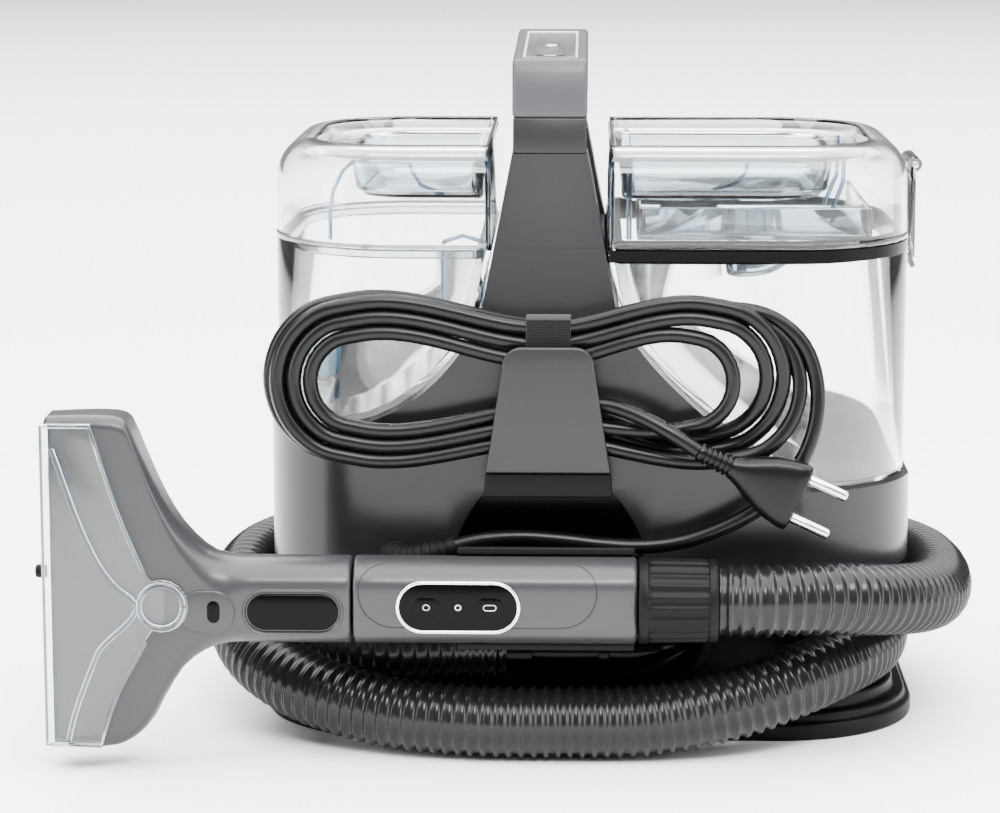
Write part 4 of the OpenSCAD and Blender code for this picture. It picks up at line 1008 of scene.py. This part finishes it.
def makeCover():
    s = coverShape
    y, (cx, cz, radius) = s["ridges"], s["collar"]
    upper = bezier((-219, s["high"]), (-212, 128), (-206, 112), (-196.5, 91), 8)
    lower = bezier((-196, 60), (-203, 45), (-211, 38), (-216.5, s["low"]), 8)
    turn = [math.radians(a) for a in range(110, -111, -20)]
    collar = [(cx + radius * math.cos(a), cz + radius * math.sin(a)) for a in turn]
    outline = [(s["left"], s["high"])] + upper + collar + lower + [(s["left"], s["low"])]
    platePiece("nozzleCover", outline[::-1], s["front"], s["back"], 0.8, "clear", "nozzle_window",
               ("nozzle_window",))
    # thick edges, the ridge that runs down it, and the ring round its collar
    edge = -239.4
    mouth = [(edge, y, z) for z in (12.5, 40, 80, 120, 156.5)]
    above = [(edge, y, 156.2), (-219.5, y, 156.2)] + [(x, y, z) for x, z in upper[1:]]
    below = [(x, y, z) for x, z in lower] + [(edge, y, 12.6)]
    ridge = bezier((-236, y, 146), (-226, y, 116), (-218, y, 88), (-203, y, 80), 10)
    ridge += bezier((-200, y, 76), (-200, y, 68), (-212, y, 63), (-217, y, 55), 10)
    ridge += bezier((-220, y, 48), (-224, y, 38), (-229, y, 26), (-231, y, 14), 8)
    turn = [math.tau * k / 28 for k in range(29)]
    ring = [(cx + 9.8 * math.cos(a), y - 0.2, cz + 9.8 * math.sin(a)) for a in turn]
    bars = [(mouth, 2.0, 10), (above, 1.0), (below, 1.0), (ridge, 1.2, 10), (ring, 1.3, 10)]
    barsPiece("coverRidges", bars, "clearBlue", "nozzle_window", (), 60)


def makeCuff():
    s = toolShape
    start, end, ridges, sides = s["end"] + 0.5, s["cuffEnd"], 22, 176

    def cuffRing(x, radius, depth):
        ring = []
        for k in range(sides):
            angle = math.tau * k / sides
            r = radius + depth * (max(math.cos(angle * ridges), -0.35))
            ring.append(Vector((x, s["axisY"] - r * math.cos(angle), s["axisZ"] + r * math.sin(angle))) * mm)
        return ring

    # distance from its start or its end, radius, and depth of the ridges
    ahead = ((0, 12, 0), (0.1, 18.6, 0), (0.8, 19.3, 0), (4.2, 19.3, 0), (5, 18.4, 0.1), (6.4, 18.3, 0.75))
    behind = ((6, 17.9, 0.75), (4.4, 17.8, 0.2), (3.8, 18.5, 0), (0.9, 18.4, 0), (0.1, 17.6, 0), (0, 14, 0))
    rings = [cuffRing(start + step, radius, depth) for step, radius, depth in ahead]
    rings += [cuffRing(end - step, radius, depth) for step, radius, depth in behind]
    loftPiece("hoseCuff", rings, "matteBlack", "hose_cuff", ("hose_cuff",), 45)


makeGrip()
makePanel()
makeNozzle()
makeCover()
makeCuff()
print("hand tool made")


# small pieces: the tank's clear boss, the latch's posts, marks, plug and strain relief

def makeSmallParts():
    boss = [([(x, -58, 193), (x, -58, 226)], 1.0) for x in (-68, -50)]
    boss.append(([(-68, -58, 226), (-59, -60, 229), (-50, -58, 226)], 1.0))
    boss.append(([(-68, -58, 194), (-59, -60, 192), (-50, -58, 194)], 1.0))
    barsPiece("tankBoss", boss, "clearEdge", "clean_tank")
    posts = [([(112, y, 234), (118, y, 250), (118, y, 268)], 1.1) for y in (-20, 20)]
    barsPiece("latchPosts", posts, "clearEdge", "dirty_lid")


def makeHandleMarks():
    # an outline round the lens and three short lines, on the sloping top of the handle
    middle = casingShape["towerX"]

    def top(y):
        return 311 + 6 * (y + 82) / 158

    outline = oblongOutline(middle, -20, 3.6, 8.4, 8)
    marks = [([(x, y, top(-20) + 0.05) for x, y in outline + outline[:1]], 0.35, 6)]
    for k in range(3):
        y = -64 + 1.6 * k
        marks.append(([(middle - 2.6, y, top(y) + 0.1), (middle + 2.6, y, top(y) + 0.1)], 0.22, 6))
    barsPiece("handleMarks", marks, "trimPale", "machine")


plugShape = {"corner": (48, -120, 140), "slant": -25.0, "ribs": 6, "ribPitch": 2.5,
             # place along it, half width, half depth and squareness
             "body": [(18, 5.6, 5.5, 2.2), (22, 7.2, 6.0, 2.4), (28, 10.6, 6.3, 2.6), (34, 13.2, 6.6, 3),
                      (40, 14.8, 6.8, 3.4), (45, 15.6, 6.9, 3.8), (48.4, 15.8, 6.8, 4), (49.5, 15.3, 6.3, 4),
                      (50, 14.2, 5.4, 4)]}


def plugRing(along, wide, deep, square=2.0, sides=48):
    # a softly squared ring: wide across the pins, deep front to back
    s = plugShape
    slant = math.radians(s["slant"])
    across = Vector((-math.sin(slant), 0, math.cos(slant)))
    base = Vector(s["corner"]) + Vector((math.cos(slant), 0, math.sin(slant))) * along
    ring = []
    for k in range(sides):
        angle = math.tau * k / sides
        c, n = math.cos(angle), math.sin(angle)
        a = math.copysign(abs(c) ** (2 / square), c) * wide
        b = math.copysign(abs(n) ** (2 / square), n) * deep
        ring.append((base + across * a + Vector((0, 1, 0)) * b) * mm)
    return ring


def makePlug():
    s = plugShape
    rings = [plugRing(along, radius, radius) for along, radius in ((0.1, 2.2), (0.2, 4.0), (1.2, 4.4))]
    for k in range(s["ribs"]):
        x, r = 2.2 + k * s["ribPitch"], 4.4 + k * 0.14
        for along, radius in ((x, r), (x + 0.3, r - 0.9), (x + 1.0, r - 0.9), (x + 1.3, r + 0.1)):
            rings.append(plugRing(along, radius, radius))
    rings += [plugRing(*step) for step in s["body"]]
    return loftPiece("plugBody", rings, "plugBlack", "machine", ("plug_body",), 30)


reliefShape = {"start": (-90.6, -94.6, 85.7), "end": (-60.5, -109, 94),
               "wide": 7.2, "taper": 3.1, "rib": 0.55, "sides": 28}


def makeRelief():
    # ribbed tapered strain relief where the lead leaves the casing
    s = reliefShape
    line, length = smoothRoute(metres([s["start"], *leadRun[:5], s["end"]]), 0.0007)
    rings = []
    for i, point in enumerate(line):
        ahead = (line[min(i + 1, len(line) - 1)] - line[max(i - 1, 0)]).normalized()
        side = Vector((0, 0, 1))
        across = (side - ahead * side.dot(ahead)).normalized()
        other = ahead.cross(across)
        share = i / (len(line) - 1)
        groove = s["rib"] if i % 5 in (0, 1) and 0.1 < share < 0.95 else 0
        radius = s["wide"] - s["taper"] * share - groove
        turn = [math.tau * k / s["sides"] for k in range(s["sides"])]
        rings.append([point + (across * math.cos(a) + other * math.sin(a)) * radius * mm for a in turn])
    bm = bmesh.new()
    joinRings(bm, rings)
    bmesh.ops.recalc_face_normals(bm, faces=bm.faces)
    addPiece("strainRelief", meshFromBmesh("strainRelief", bm, 30), finishes["rubber"], "machine")


makeSmallParts()
makeHandleMarks()
plugBody = makePlug()
makeRelief()
print("small parts made")


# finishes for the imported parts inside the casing, which no piece replaces

nodeFinish = {
    "suction_motor": "motorPaint", "motor_mount": "rubber", "fan_cover": "whitePlastic",
    "suction_duct": "matteBlack", "motor_shaft": "steel", "impeller": "steel", "water_pump": "whitePlastic",
    "water_tube": "whitePlastic", "control_board": "board"}


def dressNodes():
    for name, key in nodeFinish.items():
        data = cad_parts[name].data
        data.materials.clear()
        data.materials.append(finishes[key])


dressNodes()
print("packed parts dressed:", len(nodeFinish))
